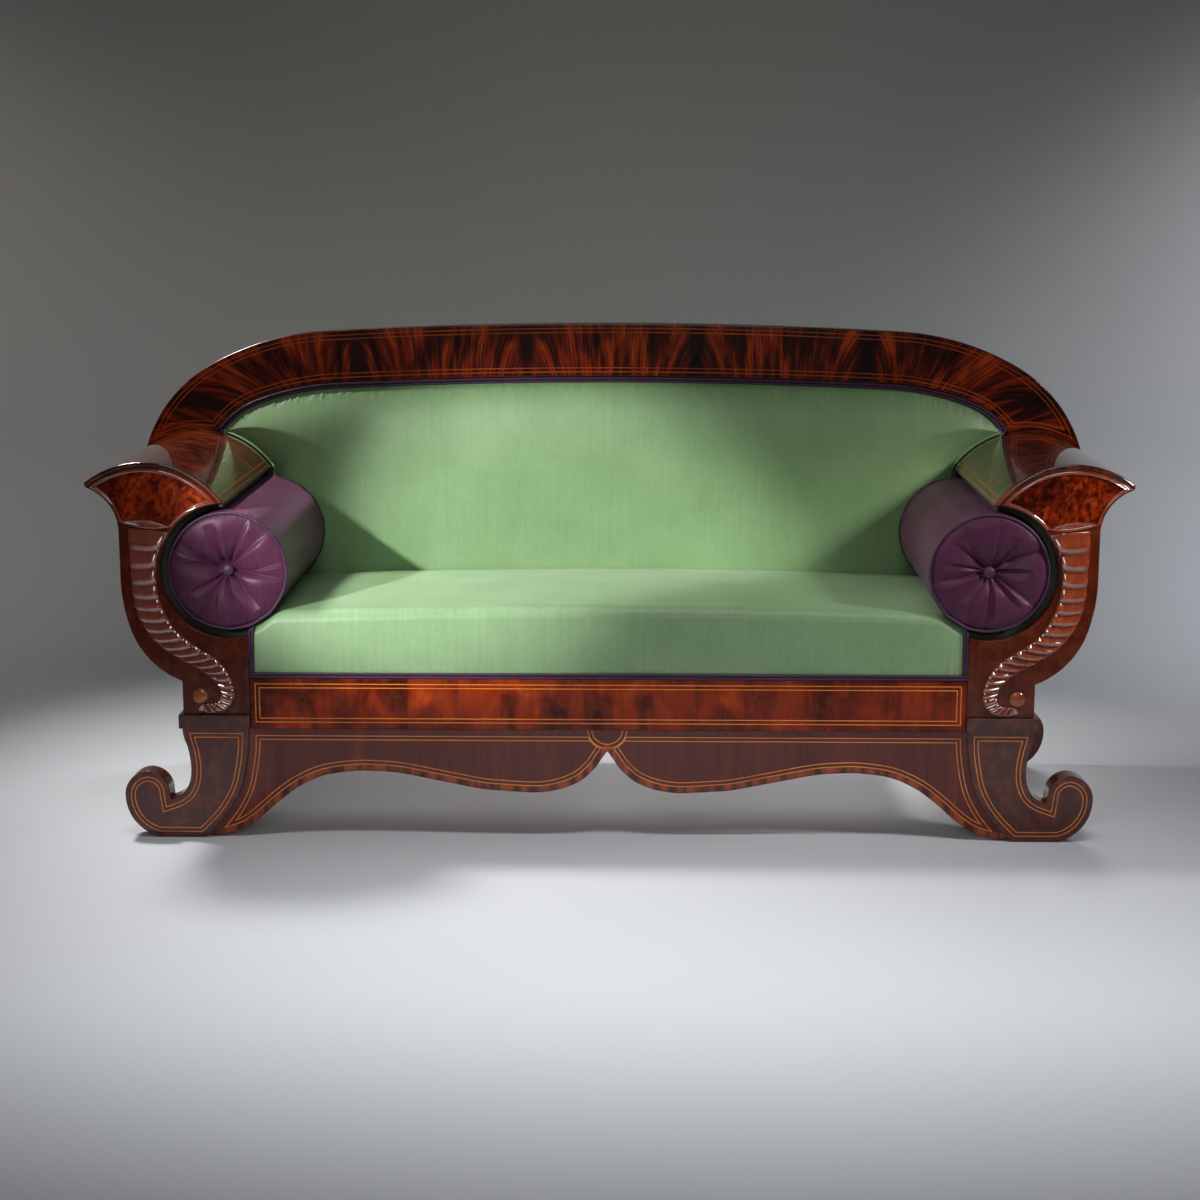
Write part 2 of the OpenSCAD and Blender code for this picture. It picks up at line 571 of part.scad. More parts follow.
module fan_panel(side) color(mahogany) on(side)
    board(front_y + 1.5, front_y + fan_depth) polygon(fan(fan_in, cuff_sag));
module fan_panel_left() fan_panel("left");
module fan_panel_right() fan_panel("right");
module fan_moulding(side) color(mahogany) on(side) difference() {
    board(front_y - 3, front_y + fan_depth) polygon(fan(fan_out, -cuff_sag));
    board(front_y - 4, front_y + fan_depth + 1) polygon(fan(fan_in, cuff_sag));
}
module fan_moulding_left() fan_moulding("left");
module fan_moulding_right() fan_moulding("right");
module horn_left() color(mahogany) on("left") horn_solid();
module horn_right() color(mahogany) on("right") horn_solid();
module horn_bosses() color(mahogany) both() translate([boss_c.x, front_y, boss_c.y]) rotate([90, 0, 0])
    rotate_extrude() polygon(concat([[0, 0], [boss_r, 0], [boss_r, 5]],
        [for (a = [15:15:90]) [boss_r * cos(a), 5 + 5 * sin(a)]]));

stile_in = 30;
module back_stile(side) color(mahogany) on(side) difference() {
    union() {
        board(crest_y, rear_y) polygon(concat([[seat_half, base_z], [arm_base_x, base_z]], arm_outside(0),
            arc(top_c, arm_top_r, bearing(top_c, [tip_x, tip_z]), bearing(top_c, arm_nib), 30),
            [[seat_half, arm_nib.y]]));
        block([seat_half - stile_in, step_y, rail_top], [seat_half + 1, rear_y, arm_nib.y]);
        post_tenon(rear_post_y, 0);
    }
    rail_tenons(rear_tenon_y, joint_gap);
    lower_rail_tenons(joint_gap);
    crest_dowels();
}
module back_stile_left() back_stile("left");
module back_stile_right() back_stile("right");

// Arched crest with a step behind its inner edge that carries the back upholstery
module crest_body() {
    board(crest_y, rear_y) polygon(band(0, 0, arm_top_r + joint_gap));
    board(step_y, rear_y) polygon(band(crest_w / 2, ledge_w, arm_top_r + joint_gap));
}
module crest_rail() color(mahogany) difference() {
    crest_body();
    crest_dowels();
    inlay(crest_y, 0.5) crest_lines();
}
dowel_turns = [62, 78, 94];
module crest_dowels() color(beech) both() for (a = dowel_turns)
    translate([top_c.x + (arm_top_r - 26) * cos(a), (crest_y + rear_y) / 2 + 4, top_c.y + (arm_top_r - 26) * sin(a)])
        rotate([0, 90 - a, 0]) cylinder(r = dowel_r, h = 52);

lower_rail_z = [388, 436];
lower_tenon = 20;
module lower_rail_tenons(g) both() block([seat_half - stile_in - 1, step_y + 6 - g, lower_rail_z[0] + 8 - g],
    [seat_half - stile_in + lower_tenon + g, step_y + 14 + g, lower_rail_z[1] - 8 + g]);
module back_rail_lower() color(beech) {
    block([stile_in - seat_half, step_y, lower_rail_z[0]], [seat_half - stile_in, rear_y, lower_rail_z[1]]);
    lower_rail_tenons(0);
}
upright_w = 46;
module back_uprights() color(beech) difference() {
    both() block([brace_x - upright_w / 2, step_y + 2, lower_rail_z[1]], [brace_x + upright_w / 2, rear_y, inner_top]);
    crest_body();
}

// Webbing: crossed straps on the frame, lengthwise straps lying on the crosswise ones
strap_w = 50;
strap_room = 20;
seat_pitch_x = seat_half / 7;
seat_pitch_y = (rear_y - rear_rail_t - rail_in_y - 2 * strap_room - strap_w) / 4;
module seat_webbing() color(jute) {
    for (i = [-6:6]) block([i * seat_pitch_x - strap_w / 2, rail_y + 12, rail_top],
        [i * seat_pitch_x + strap_w / 2, rear_y - 8, rail_top + web_t]);
    for (j = [0:4]) let(y = rail_in_y + strap_room + j * seat_pitch_y)
        block([-seat_half + 5, y, rail_top + web_t], [seat_half - 5, y + strap_w, rail_top + 2 * web_t]);
}
module seat_hessian() color(jute)
    block([-seat_half + 4, rail_y + 6, rail_top + 2 * web_t], [seat_half - 4, rear_y - 74, seat_base]);
back_pitch_x = 0.17 * seat_half;
back_pitch_z = (inner_top - lower_rail_z[1]) / 5;
module back_webbing() color(jute) {
    for (i = [-5:5]) let(x = abs(i) * back_pitch_x, z = inner_z(x + strap_w / 2) - 4) mirror([i < 0 ? 1 : 0, 0, 0])
        block([x - strap_w / 2, step_y - web_t, lower_rail_z[0] + 6], [x + strap_w / 2, step_y, z]);
    for (k = [0:2]) let(z = lower_rail_z[1] + (k + 0.7) * back_pitch_z)
        block([-seat_half + 6, step_y - 2 * web_t, z], [seat_half - 6, step_y - web_t, z + strap_w]);
}

// Seat: crowned, round at the front, pressed hollow under the bolsters
seat_side = seat_half - 2;
seat_front = rail_y + 2.5;
seat_rear = crest_y - 36;
function dip(x) = let(d = abs(abs(x) - bolster_c.x), r = cradle_r + bolster_gap)
    d < r ? bolster_c.y - sqrt(r * r - d * d) : 9999;
function seat_z(x, y) = let(u = x / seat_side, v = (y - seat_front) / (seat_rear - seat_front), d = y - seat_front,
    e = seat_rear - y, crown = seat_top - seat_fall * u * u - 16 * v + 26 * v * (1 - v),
    near = d < seat_edge_r ? seat_edge_r - sqrt(max(0, seat_edge_r * seat_edge_r - pow(seat_edge_r - d, 2))) : 0,
    far = e < 10 ? 10 - sqrt(max(0, 100 - pow(10 - e, 2))) : 0)
    min(crown, dip(x)) - near - far;
seat_step = 9;
seat_xs = concat([for (i = [0:9]) seat_side - seat_step * i],
    [for (i = [1:9]) (seat_side - 9 * seat_step) * (1 - i / 9)]);
function seat_columns() = concat([for (x = seat_xs) -x], [for (i = [len(seat_xs) - 2:-1:0]) seat_xs[i]]);
seat_rows = [0, 1.5, 5, 11, 19, 28, 60, 120, 190, 270, 350, 430, 490];
module seat_cushion() color(green) stuffed([for (x = seat_columns())
    [for (y = concat([for (r = seat_rows) seat_front + r], [for (e = [20, 9, 4, 1, 0]) seat_rear - e]))
        [x, y, seat_z(x, y)]]], seat_base, [0.996, 0.99], 0.4);
module seat_piping() color(aubergine) {
    for (k = [0, 1]) translate([0, rail_y, rail_top + soft_gap + cord_r + k * cord_pitch])
        rotate([0, 90, 0]) cylinder(r = cord_r, h = 2 * (seat_half - soft_gap), center = true);
    both() for (k = [0, 1]) translate([seat_half - cord_r - soft_gap - k * cord_pitch, seat_front - cord_r - soft_gap,
        rail_top + 4 * (cord_r + soft_gap)]) cylinder(r = cord_r, h = 84);
}

// Back: swelling forward inside the arch, cut to the arms at its lower corners
back_low = lower_rail_z[0] + 12;
back_mid = 660;
cord_pitch = 2 * cord_r + soft_gap;
cord_room = 2 * cord_pitch + soft_gap;
arm_room = 2;
back_end = meet(inner_c3, inner_r3 - cord_room, top_c, arm_top_r + arm_room, 1).x - 4;
back_side = seat_half - 3;
back_base_y = step_y - 2 * web_t - 0.5;
back_edge = back_base_y - crest_y + 0.5;
function back_low_z(x) = x <= back_side ? back_low
    : top_c.y + max(arm_nib.y + 1 - top_c.y, on_top([top_c.x, 0], arm_top_r + arm_room, x));
function back_top_z(x) = inner_z(x, cord_room);
function back_h(x, z) = let(side = x < back_side
        ? norm([back_side - x, max(0, z - arm_nib.y - 1)]) : z - back_low_z(x),
    d = max(0, min(side, back_top_z(x) - z, z - back_low)))
    back_edge + back_swell * (1 - exp(-d / 34));
back_step = 13;
back_xs = concat([for (i = [0:7]) back_end * (1 - i / 7) + (back_side + 1.2) * i / 7], [back_side - 0.2],
    [for (i = [1:9]) back_side - back_step * i], [for (i = [1:8]) (back_side - 9 * back_step) * (1 - i / 8)]);
back_rows = [0, 0.012, 0.045, 0.1, 0.19, 0.33, 0.5, 0.67, 0.81, 0.9, 0.955, 0.988, 1];
function back_columns() = concat([for (x = back_xs) -x], [for (i = [len(back_xs) - 2:-1:0]) back_xs[i]]);
module back_cushion() color(green) translate([0, back_base_y, back_mid]) rotate([90, 0, 0])
    stuffed([for (x = back_columns()) let(a = abs(x), lo = back_low_z(a), hi = back_top_z(a))
        [for (v = back_rows) let(z = lo + (hi - lo) * v) [x, z - back_mid, back_h(a, z)]]], 0, [0.998, 0.996], 0.5);
module back_piping() color(aubergine) for (k = [0, 1])
    let(h = inner_half(cord_r + soft_gap + k * cord_pitch, arm_top_r + cord_r + 1))
    cord_path(concat(mirrored(reversed(h)), [for (i = [1:len(h) - 1]) h[i]]), crest_y - 1, cord_r, 6);
turn_in = 8;
module outside_back() color(green) let(low = arm_top_r - turn_in, side = seat_half + turn_in,
    half = concat([[side, rail_top + turn_in], [side, arm_nib.y - turn_in]],
        [for (i = [0:6]) let(x = arm_nib.x + (back_end - arm_nib.x) * i / 6)
            [x, top_c.y + sqrt(low * low - (x - top_c.x) * (x - top_c.x))]],
        [for (i = [0:24]) let(x = back_end * (1 - i / 24)) [x, inner_z(x) + turn_in]]))
    board(rear_y, rear_y + cover_t) polygon(concat(half, reversed(mirrored([for (i = [0:len(half) - 2]) half[i]]))));

module crest_stringing() color(boxwood) inlay(crest_y, line_proud) crest_lines();
module front_stringing() color(boxwood) {
    inlay(rail_y, line_proud) rail_lines();
    both() inlay(foot_y, line_proud) foot_lines();
    both() inlay(apron_y, line_proud) apron_lines();
    inlay(apron_y, line_proud) roundel_lines();
}
module arm_stringing() color(boxwood) both() arm_line(line_proud);

// Bolster: a round stuffed roll with pleated ends and a sunk button in each
bolster_segs = 4 * pleats;
end_rings = [[14, 7, 0], [24, 2, 0.3], [44, -2.5, 0.8], [72, -4, 1], [98, -3, 0.7], [115.2, 0, 0.1], [115.4, 3.8, 0]];
module bolster_solid() {
    len_y = bolster_back - bolster_front;
    k = bolster_r / 119.5;
    rows = concat(
        [for (q = end_rings) [q[0] * k, q[1], q[2]]], [[bolster_r, 4, 0], [bolster_r, len_y / 3, 0]],
        [[bolster_r, 2 * len_y / 3, 0], [bolster_r, len_y - 4, 0]],
        [for (i = [len(end_rings) - 1:-1:0]) let(q = end_rings[i]) [q[0] * k, len_y - q[1], -q[2]]]);
    pts = concat([[bolster_c.x, bolster_front + 7, bolster_c.y]],
        [for (q = rows, j = [0:bolster_segs - 1]) let(a = 360 * j / bolster_segs, fold = q[2] * 3 * cos(pleats * a))
            [bolster_c.x + q[0] * cos(a), bolster_front + q[1] + fold, bolster_c.y + q[0] * sin(a)]],
        [[bolster_c.x, bolster_back - 7, bolster_c.y]]);
    n = bolster_segs;
    m = len(rows);
    side_faces = [for (i = [0:m - 2], j = [0:n - 1], h = [0, 1])
        let(a = 1 + i * n + j, b = 1 + i * n + (j + 1) % n) h == 0 ? [a, a + n, b + n] : [a, b + n, b]];
    near_cap = [for (j = [0:n - 1]) [0, 1 + j, 1 + (j + 1) % n]];
    far_cap = [for (j = [0:n - 1]) [1 + m * n, 1 + (m - 1) * n + (j + 1) % n, 1 + (m - 1) * n + j]];
    polyhedron(pts, concat(side_faces, near_cap, far_cap), 6);
}
module bolster_rings() for (y = [bolster_front + 0.5, bolster_back - 0.5])
    translate([bolster_c.x, y, bolster_c.y]) rotate([90, 0, 0]) rotate_extrude($fn = 96)
        translate([bolster_r - 0.9, 0]) circle(bolster_cord_r, $fn = 24);
button_r = 12;
module bolster_buttons() for (e = [[bolster_front + 7, 0], [bolster_back - 7, 1]])
    translate([bolster_c.x, e[0], bolster_c.y]) mirror([0, e[1], 0]) rotate([90, 0, 0]) {
        cylinder(r = button_r, h = 2);
        translate([0, 0, 2]) rotate_extrude() polygon([[0, 0], [button_r, 0], [button_r - 2, 2.2], [button_r - 6, 3.6], [0, 4]]);
    }
module bolster_left() color(aubergine) on("left") bolster_solid();
module bolster_right() color(aubergine) on("right") bolster_solid();
module bolster_piping_left() color(aubergine) on("left") bolster_rings();
module bolster_piping_right() color(aubergine) on("right") bolster_rings();
module bolster_buttons_left() color(aubergine) on("left") bolster_buttons();
module bolster_buttons_right() color(aubergine) on("right") bolster_buttons();

seat_rail_front();
seat_rail_rear();
seat_side_rail_left();
seat_side_rail_right();
seat_braces();
corner_blocks();
block_screws();
apron();
apron_blocks();
apron_dowels();
foot_front_left();
foot_front_right();
foot_rear_left();
foot_rear_right();
cap_blocks_front();
cap_blocks_rear();
plinth_mouldings();
arm_board_left();
arm_board_right();
arm_rail_left();
arm_rail_right();
arm_panel_left();
arm_panel_right();
arm_top_left();
arm_top_right();
arm_battens();
arm_hessian();
arm_pad_left();
arm_pad_right();
arm_piping();
fan_panel_left();
fan_panel_right();
fan_moulding_left();
fan_moulding_right();
horn_left();
horn_right();
horn_bosses();
back_stile_left();
back_stile_right();
crest_rail();
crest_dowels();
back_rail_lower();
back_uprights();
back_webbing();
back_cushion();
back_piping();
outside_back();
seat_webbing();
seat_hessian();
seat_cushion();
seat_piping();
crest_stringing();
front_stringing();
arm_stringing();
bolster_left();
bolster_piping_left();
bolster_buttons_left();
bolster_right();
bolster_piping_right();
bolster_buttons_right();
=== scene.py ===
"""Looks of a long sofa with an arched crest, carved scroll arms and two loose bolsters.

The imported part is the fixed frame. Everything that shows is either one of its nodes in a better
finish, or a finer piece worked out here as a surface and laid over the node that it stands for.
All lengths are metres, +X to the right seen from the front, -Y to the front, floor at Z = 0.
"""

import logging
import math
from dataclasses import dataclass, field
from enum import Enum
from typing import Iterable, Sequence

import bpy
import numpy as np
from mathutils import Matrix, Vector
from mathutils.geometry import tessellate_polygon


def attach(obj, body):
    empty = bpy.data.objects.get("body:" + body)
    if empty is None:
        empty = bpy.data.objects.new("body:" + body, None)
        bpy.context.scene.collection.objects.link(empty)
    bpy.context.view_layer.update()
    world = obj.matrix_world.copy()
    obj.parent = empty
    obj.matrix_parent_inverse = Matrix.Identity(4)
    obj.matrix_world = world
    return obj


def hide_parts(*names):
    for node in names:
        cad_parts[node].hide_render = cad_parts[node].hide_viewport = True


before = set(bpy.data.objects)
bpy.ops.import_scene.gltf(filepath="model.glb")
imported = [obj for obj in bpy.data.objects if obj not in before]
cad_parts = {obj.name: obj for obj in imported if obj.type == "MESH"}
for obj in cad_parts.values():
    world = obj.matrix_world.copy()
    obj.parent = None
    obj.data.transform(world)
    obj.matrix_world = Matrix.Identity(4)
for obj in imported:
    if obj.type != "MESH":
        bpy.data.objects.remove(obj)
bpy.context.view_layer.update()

LOG = logging.getLogger("sofa")
Array = np.ndarray
Rgb = tuple[int, int, int]
Socket = bpy.types.NodeSocket
MM = 0.001


class Side(Enum):
    """Which end of the sofa a piece belongs to; the value is the sign of its X."""

    LEFT = -1
    RIGHT = 1

    @property
    def word(self) -> str:
        """The side's name as the nodes write it."""
        return self.name.lower()


class Grain(Enum):
    """The way the grain runs; the value squeezes Object coordinates so that streaks follow it."""

    UPRIGHT = (1.0, 1.0, 0.07)
    LEVEL = (0.07, 1.0, 1.0)
    DEEP = (1.0, 0.07, 1.0)


# Plane geometry in the front view, as (x, z) pairs


def spread(*parts: Array | float) -> Array:
    """Values and arrays that fit each other's shape, side by side in a new last axis."""
    return np.stack(np.broadcast_arrays(*parts), axis=-1)


def at_depth(flat: Array, y: Array | float) -> Array:
    """Plane (x, z) points as points in space at the depth y."""
    return spread(flat[..., 0], y, flat[..., 1])


def about_axis(centre: Sequence[float], r: Array | float, a: Array, y: Array | float) -> Array:
    """Points about an axis along Y, by radius, angle seen from the front, and depth."""
    return spread(centre[0] + r * np.cos(a), y, centre[1] + r * np.sin(a))


def polar(centre: Sequence[float], radius: float, start: float, end: float, count: int) -> Array:
    """Points on a circular arc: centre + radius * (cos a, sin a) for evenly spaced angles.

    Args:
        centre: Middle of the circle.
        radius: Radius of the circle.
        start: First angle in degrees.
        end: Last angle in degrees.
        count: Number of steps.

    Returns:
        Array of count + 1 points.
    """
    a = np.radians(np.linspace(start, end, count + 1))
    return np.asarray(centre) + radius * spread(np.cos(a), np.sin(a))


def bearing(centre: Sequence[float], point: Sequence[float]) -> float:
    """Angle in degrees at which a point is seen from a centre."""
    return math.degrees(math.atan2(point[1] - centre[1], point[0] - centre[0]))


def arc(centre: Sequence[float], radius: float, start: Sequence[float], end: Sequence[float], count: int) -> Array:
    """Circular arc about a centre from the direction of one point to that of another."""
    return polar(centre, radius, bearing(centre, start), bearing(centre, end), count)


def crossing(c1: Array, r1: float, c2: Array, r2: float, side: int) -> Array:
    """Crossing point of two circles.

    Args:
        c1: Centre of the first circle.
        r1: Its radius.
        c2: Centre of the second circle.
        r2: Its radius.
        side: 1 or -1, which of the two crossings.

    Returns:
        The (x, z) point: along the line of centres by (d2 + r1^2 - r2^2) / 2d, then square to it.
    """
    v = c2 - c1
    d = float(np.hypot(*v))
    u = v / d
    a = (d * d + r1 * r1 - r2 * r2) / (2 * d)
    return c1 + a * u + side * math.sqrt(max(0.0, r1 * r1 - a * a)) * np.array((-u[1], u[0]))


def curve_at(points: Array, at: Array) -> Array:
    """Smooth curve through points: the cubic through each pair with its neighbours' slopes.

    Args:
        points: Control points, one row each, of any width.
        at: Places on the curve, counted in control points.

    Returns:
        One point for each place.
    """
    p = np.asarray(points, float)
    m = len(p) - 1
    i = np.minimum(at.astype(int), m - 1)
    t = (at - i)[:, None]
    a, b, c, d = (p[np.clip(i + k, 0, m)] for k in (-1, 0, 1, 2))
    return 0.5 * (2 * b + (c - a) * t + (2 * a - 5 * b + 4 * c - d) * t ** 2 + (3 * b - a - 3 * c + d) * t ** 3)


def flowing(points: Array, steps: int) -> Array:
    """The smooth curve with equal steps between each two control points."""
    return curve_at(points, np.arange((len(points) - 1) * steps + 1) / steps)


def full_turn(count: int) -> Array:
    """Evenly spaced angles once round a circle."""
    return np.linspace(0, 2 * np.pi, count, endpoint=False)


def both_halves(half: Array) -> Array:
    """A right half from the middle outwards, with its mirror image before it."""
    return np.vstack((half[:0:-1] * (-1, 1), half))


def run_length(points: Array) -> Array:
    """Distance along a line at each of its points, from 0 at the first."""
    step = np.linalg.norm(np.diff(points, axis=0), axis=1)
    return np.concatenate(((0.0,), np.cumsum(step)))


def evenly(points: Array, count: int) -> Array:
    """The same line with count + 1 points at equal distances."""
    run = run_length(points)
    at = np.linspace(0.0, run[-1], count + 1)
    return np.column_stack([np.interp(at, run, points[:, k]) for k in range(points.shape[1])])


def tidy_loop(points: Array) -> Array:
    """A closed outline, anticlockwise, without doubled points."""
    p = points[np.linalg.norm(points - np.roll(points, 1, axis=0), axis=1) > 2e-5]
    x, z = p[:, 0], p[:, 1]
    area = np.sum(x * np.roll(z, -1) - np.roll(x, -1) * z)
    return p if area > 0 else p[::-1]


def drawn_in(outline: Array, distance: float) -> Array:
    """Each point of a closed anticlockwise outline moved in along its mitre.

    Args:
        outline: Points of the outline.
        distance: How far the new line lies inside the old one.

    Returns:
        As many points: p + distance * (n1 + n2) / (1 + n1 . n2), n1 and n2 the inward normals.
    """
    step = np.roll(outline, -1, axis=0) - outline
    n2 = spread(-step[:, 1], step[:, 0]) / np.linalg.norm(step, axis=1)[:, None]
    n1 = np.roll(n2, 1, axis=0)
    dot = np.maximum(np.sum(n1 * n2, axis=1), -0.6)[:, None]
    return outline + distance * (n1 + n2) / (1 + dot)


def ring_quads(rows: int, columns: int, wrap_rows: bool = False, wrap_columns: bool = False) -> Array:
    """Four-sided faces of a grid of points numbered row by row.

    Args:
        rows: Number of rows.
        columns: Number of points in a row.
        wrap_rows: Joins the last row to the first.
        wrap_columns: Joins the last point of each row to the first.

    Returns:
        Array of faces, four point numbers each.
    """
    i = np.arange(rows if wrap_rows else rows - 1)[:, None]
    j = np.arange(columns if wrap_columns else columns - 1)[None, :]
    i2, j2 = (i + 1) % rows, (j + 1) % columns
    quads = np.stack((i * columns + j, i2 * columns + j, i2 * columns + j2, i * columns + j2), axis=-1)
    return quads.reshape(-1, 4)


def smooth_noise(x: Array, y: Array, size: float, seed: int) -> Array:
    """Gentle unevenness from -1 to 1: a fixed sum of nine sine waves with seeded directions.

    Args:
        x: First coordinate.
        y: Second coordinate.
        size: Length of the main waves.
        seed: Picks the set of waves.

    Returns:
        Array shaped like x.
    """
    rng = np.random.default_rng(seed)
    total = np.zeros(np.broadcast(x, y).shape)
    for _ in range(9):
        turn, phase, k = rng.uniform(0, 2 * np.pi), rng.uniform(0, 2 * np.pi), rng.uniform(0.6, 1.9)
        total = total + np.sin(2 * np.pi * k / size * (x * np.cos(turn) + y * np.sin(turn)) + phase) / 9 ** 0.5
    return total / 1.6


@dataclass
class Shape:
    """Points and faces of one piece before it becomes an object."""

    points: Array
    faces: list = field(default_factory=list)
    uv: Array | None = None
    edge: Array | None = None
    along: Array | None = None
    finish: list = field(default_factory=list)
    flat: list = field(default_factory=list)

    def add(self, faces: Iterable, finish: int = 0, flat: bool = False) -> None:
        """Adds faces in one finish.

        Args:
            faces: Rows of point numbers.
            finish: Index of the material.
            flat: Leaves the faces flat instead of smooth.
        """
        new = [tuple(int(k) for k in f) for f in faces]
        self.faces += new
        self.finish += [finish] * len(new)
        self.flat += [flat] * len(new)

    def joined(self, other: "Shape") -> "Shape":
        """This shape and another as one, for a piece of several solids."""
        n = len(self.points)

        def both(a: Array | None, b: Array | None, width: int) -> Array | None:
            """Stacks two optional columns, with zeros for a missing one."""
            if a is None and b is None:
                return None
            a = np.zeros((n, width)) if a is None else a.reshape(n, width)
            b = np.zeros((len(other.points), width)) if b is None else b.reshape(-1, width)
            return np.vstack((a, b))

        edge, along = both(self.edge, other.edge, 1), both(self.along, other.along, 1)
        faces = self.faces + [tuple(k + n for k in f) for f in other.faces]
        return Shape(np.vstack((self.points, other.points)), faces, both(self.uv, other.uv, 2), edge, along,
                     self.finish + other.finish, self.flat + other.flat)

    def mirrored(self, side: Side) -> "Shape":
        """The same shape for a side, modelled on the right and mirrored to the left."""
        if side is Side.LEFT:
            self.points = self.points * np.array((-1.0, 1.0, 1.0))
            self.faces = [f[::-1] for f in self.faces]
        return self

    def outward(self) -> "Shape":
        """Turns every face round if the signed volume of the closed shape is negative."""
        volume = 0.0
        for size in {len(f) for f in self.faces}:
            p = self.points[np.array([f for f in self.faces if len(f) == size])]
            volume += float(np.sum(p[:, :1] * np.cross(p[:, 1:-1], p[:, 2:])))
        if volume < 0:
            self.faces = [f[::-1] for f in self.faces]
        return self

    def to_object(self, name: str, materials: Sequence[bpy.types.Material]) -> bpy.types.Object:
        """Makes the Blender object, at the origin with its place in its mesh.

        Args:
            name: Name of the object and its mesh.
            materials: One for each finish number.

        Returns:
            The new object.
        """
        mesh = bpy.data.meshes.new(name)
        mesh.from_pydata(self.points.tolist(), [], self.faces)
        mesh.polygons.foreach_set("use_smooth", np.logical_not(self.flat))
        mesh.polygons.foreach_set("material_index", np.asarray(self.finish, dtype=np.int32))
        corner = np.zeros(len(mesh.loops), dtype=np.int32)
        mesh.loops.foreach_get("vertex_index", corner)
        if self.uv is not None:
            mesh.uv_layers.new(name="cloth").data.foreach_set("uv", self.uv[corner].astype(np.float32).ravel())
        for label, values in (("edge", self.edge), ("along", self.along)):
            if values is not None:
                layer = mesh.attributes.new(label, "FLOAT", "POINT")
                layer.data.foreach_set("value", np.asarray(values, dtype=np.float32).ravel())
        for material in materials:
            mesh.materials.append(material)
        mesh.validate()
        mesh.update()
        made = bpy.data.objects.new(name, mesh)
        bpy.context.scene.collection.objects.link(made)
        return made


def cap(shape: Shape, loops: Sequence[Array], numbers: Sequence[Array], facing: int, finish: int) -> None:
    """Closes a flat end that may have holes.

    Args:
        shape: The shape that gets the faces.
        loops: Outer outline and then any holes, as (x, z) points.
        numbers: The point numbers of each loop.
        facing: -1 for an end that faces the front, 1 for one that faces the back.
        finish: Index of the material.
    """
    tris = np.array(tessellate_polygon([[Vector((p[0], p[1], 0.0)) for p in loop] for loop in loops]))
    flat_points, flat_numbers = np.vstack(loops), np.concatenate(numbers)
    a, b, c = (flat_points[tris[:, k]] for k in range(3))
    turn = (b[:, 0] - a[:, 0]) * (c[:, 1] - a[:, 1]) - (b[:, 1] - a[:, 1]) * (c[:, 0] - a[:, 0])
    wrong = turn * facing > 0
    tris[wrong] = tris[wrong][:, ::-1]
    shape.add(flat_numbers[tris[np.abs(turn) > 1e-12]], finish, flat=True)


def softened(outline: Array, radius: float) -> Array:
    """An outline whose sharp corners are rounded.

    Each corner that turns by more than 25 degrees becomes the curve (1-t)^2 a + 2t(1-t) p + t^2 b between
    points a and b at the radius on either side of it.

    Args:
        outline: Closed outline.
        radius: Distance from the corner at which the rounding starts.

    Returns:
        The new closed outline.
    """
    ahead = np.roll(outline, -1, axis=0) - outline
    size = np.linalg.norm(ahead, axis=1)
    u2 = ahead / size[:, None]
    u1 = np.roll(u2, 1, axis=0)
    room = np.minimum(radius, 0.4 * np.minimum(size, np.roll(size, 1)))[:, None]
    a, b = outline - u1 * room, outline + u2 * room
    t = np.linspace(0, 1, 5)[None, :, None]
    round_ = (1 - t) ** 2 * a[:, None] + 2 * t * (1 - t) * outline[:, None] + t ** 2 * b[:, None]
    sharp = np.sum(u1 * u2, axis=1) < math.cos(math.radians(25))
    keep = np.ones((len(outline), 5), dtype=bool)
    keep[~sharp, 1:] = False
    round_[~sharp, 0] = outline[~sharp]
    return round_[keep]


def slab(outline: Array, front: float, back: float, bevel: float, back_bevel: float | None = None,
         hole: Array | None = None, hole_depth: float = 0.0) -> Shape:
    """A board of any outline with rounded edges, as rows of its outline drawn in and set back.

    The rounding is a quarter circle: drawn in by b (1 - sin t), set back by b (1 - cos t).

    Args:
        outline: Closed outline as (x, z) points.
        front: Y of the front face.
        back: Y of the back face.
        bevel: Radius of the rounded front edges.
        back_bevel: Radius of the rounded back edges, the same if left out.
        hole: Outline of a sunk field in the front face.
        hole_depth: Depth of that field.

    Returns:
        The closed shape, with 1 in edge on the rounded edges.
    """
    loop = tidy_loop(outline)
    n = len(loop)
    rear = bevel if back_bevel is None else back_bevel
    t = np.radians(np.linspace(0, 90, 5))
    rows = [(bevel * (1 - math.sin(a)), front + bevel * (1 - math.cos(a)), 1.0) for a in t]
    rows += [(rear * (1 - math.sin(a)), back - rear * (1 - math.cos(a)), 1.0) for a in t[::-1]]
    rings = [drawn_in(loop, d) for d, _, _ in rows]
    points = [at_depth(ring, y) for ring, (_, y, _) in zip(rings, rows)]
    edge = [np.full(n, e) for _, _, e in rows]
    shape = Shape(np.vstack(points))
    shape.add(ring_quads(len(rows), n, wrap_columns=True))
    last = (len(rows) - 1) * n
    cap(shape, [rings[-1]], [np.arange(last, last + n)], 1, 0)
    loops, counted = [rings[0]], [np.arange(n)]
    if hole is not None:
        rim = tidy_loop(hole)[::-1]
        base, k = last + n, len(rim)
        lip, floor = np.arange(base, base + k), np.arange(base + k, base + 2 * k)
        shape.points = np.vstack((shape.points, at_depth(rim, front), at_depth(rim, front + hole_depth)))
        edge.append(np.zeros(2 * k))
        shape.add(spread(lip, np.roll(lip, -1), np.roll(floor, -1), floor), 0, True)
        cap(shape, [rim], [floor], -1, 0)
        loops.append(rim)
        counted.append(lip)
    cap(shape, loops, counted, -1, 0)
    shape.edge = np.concatenate(edge)
    return shape.outward()


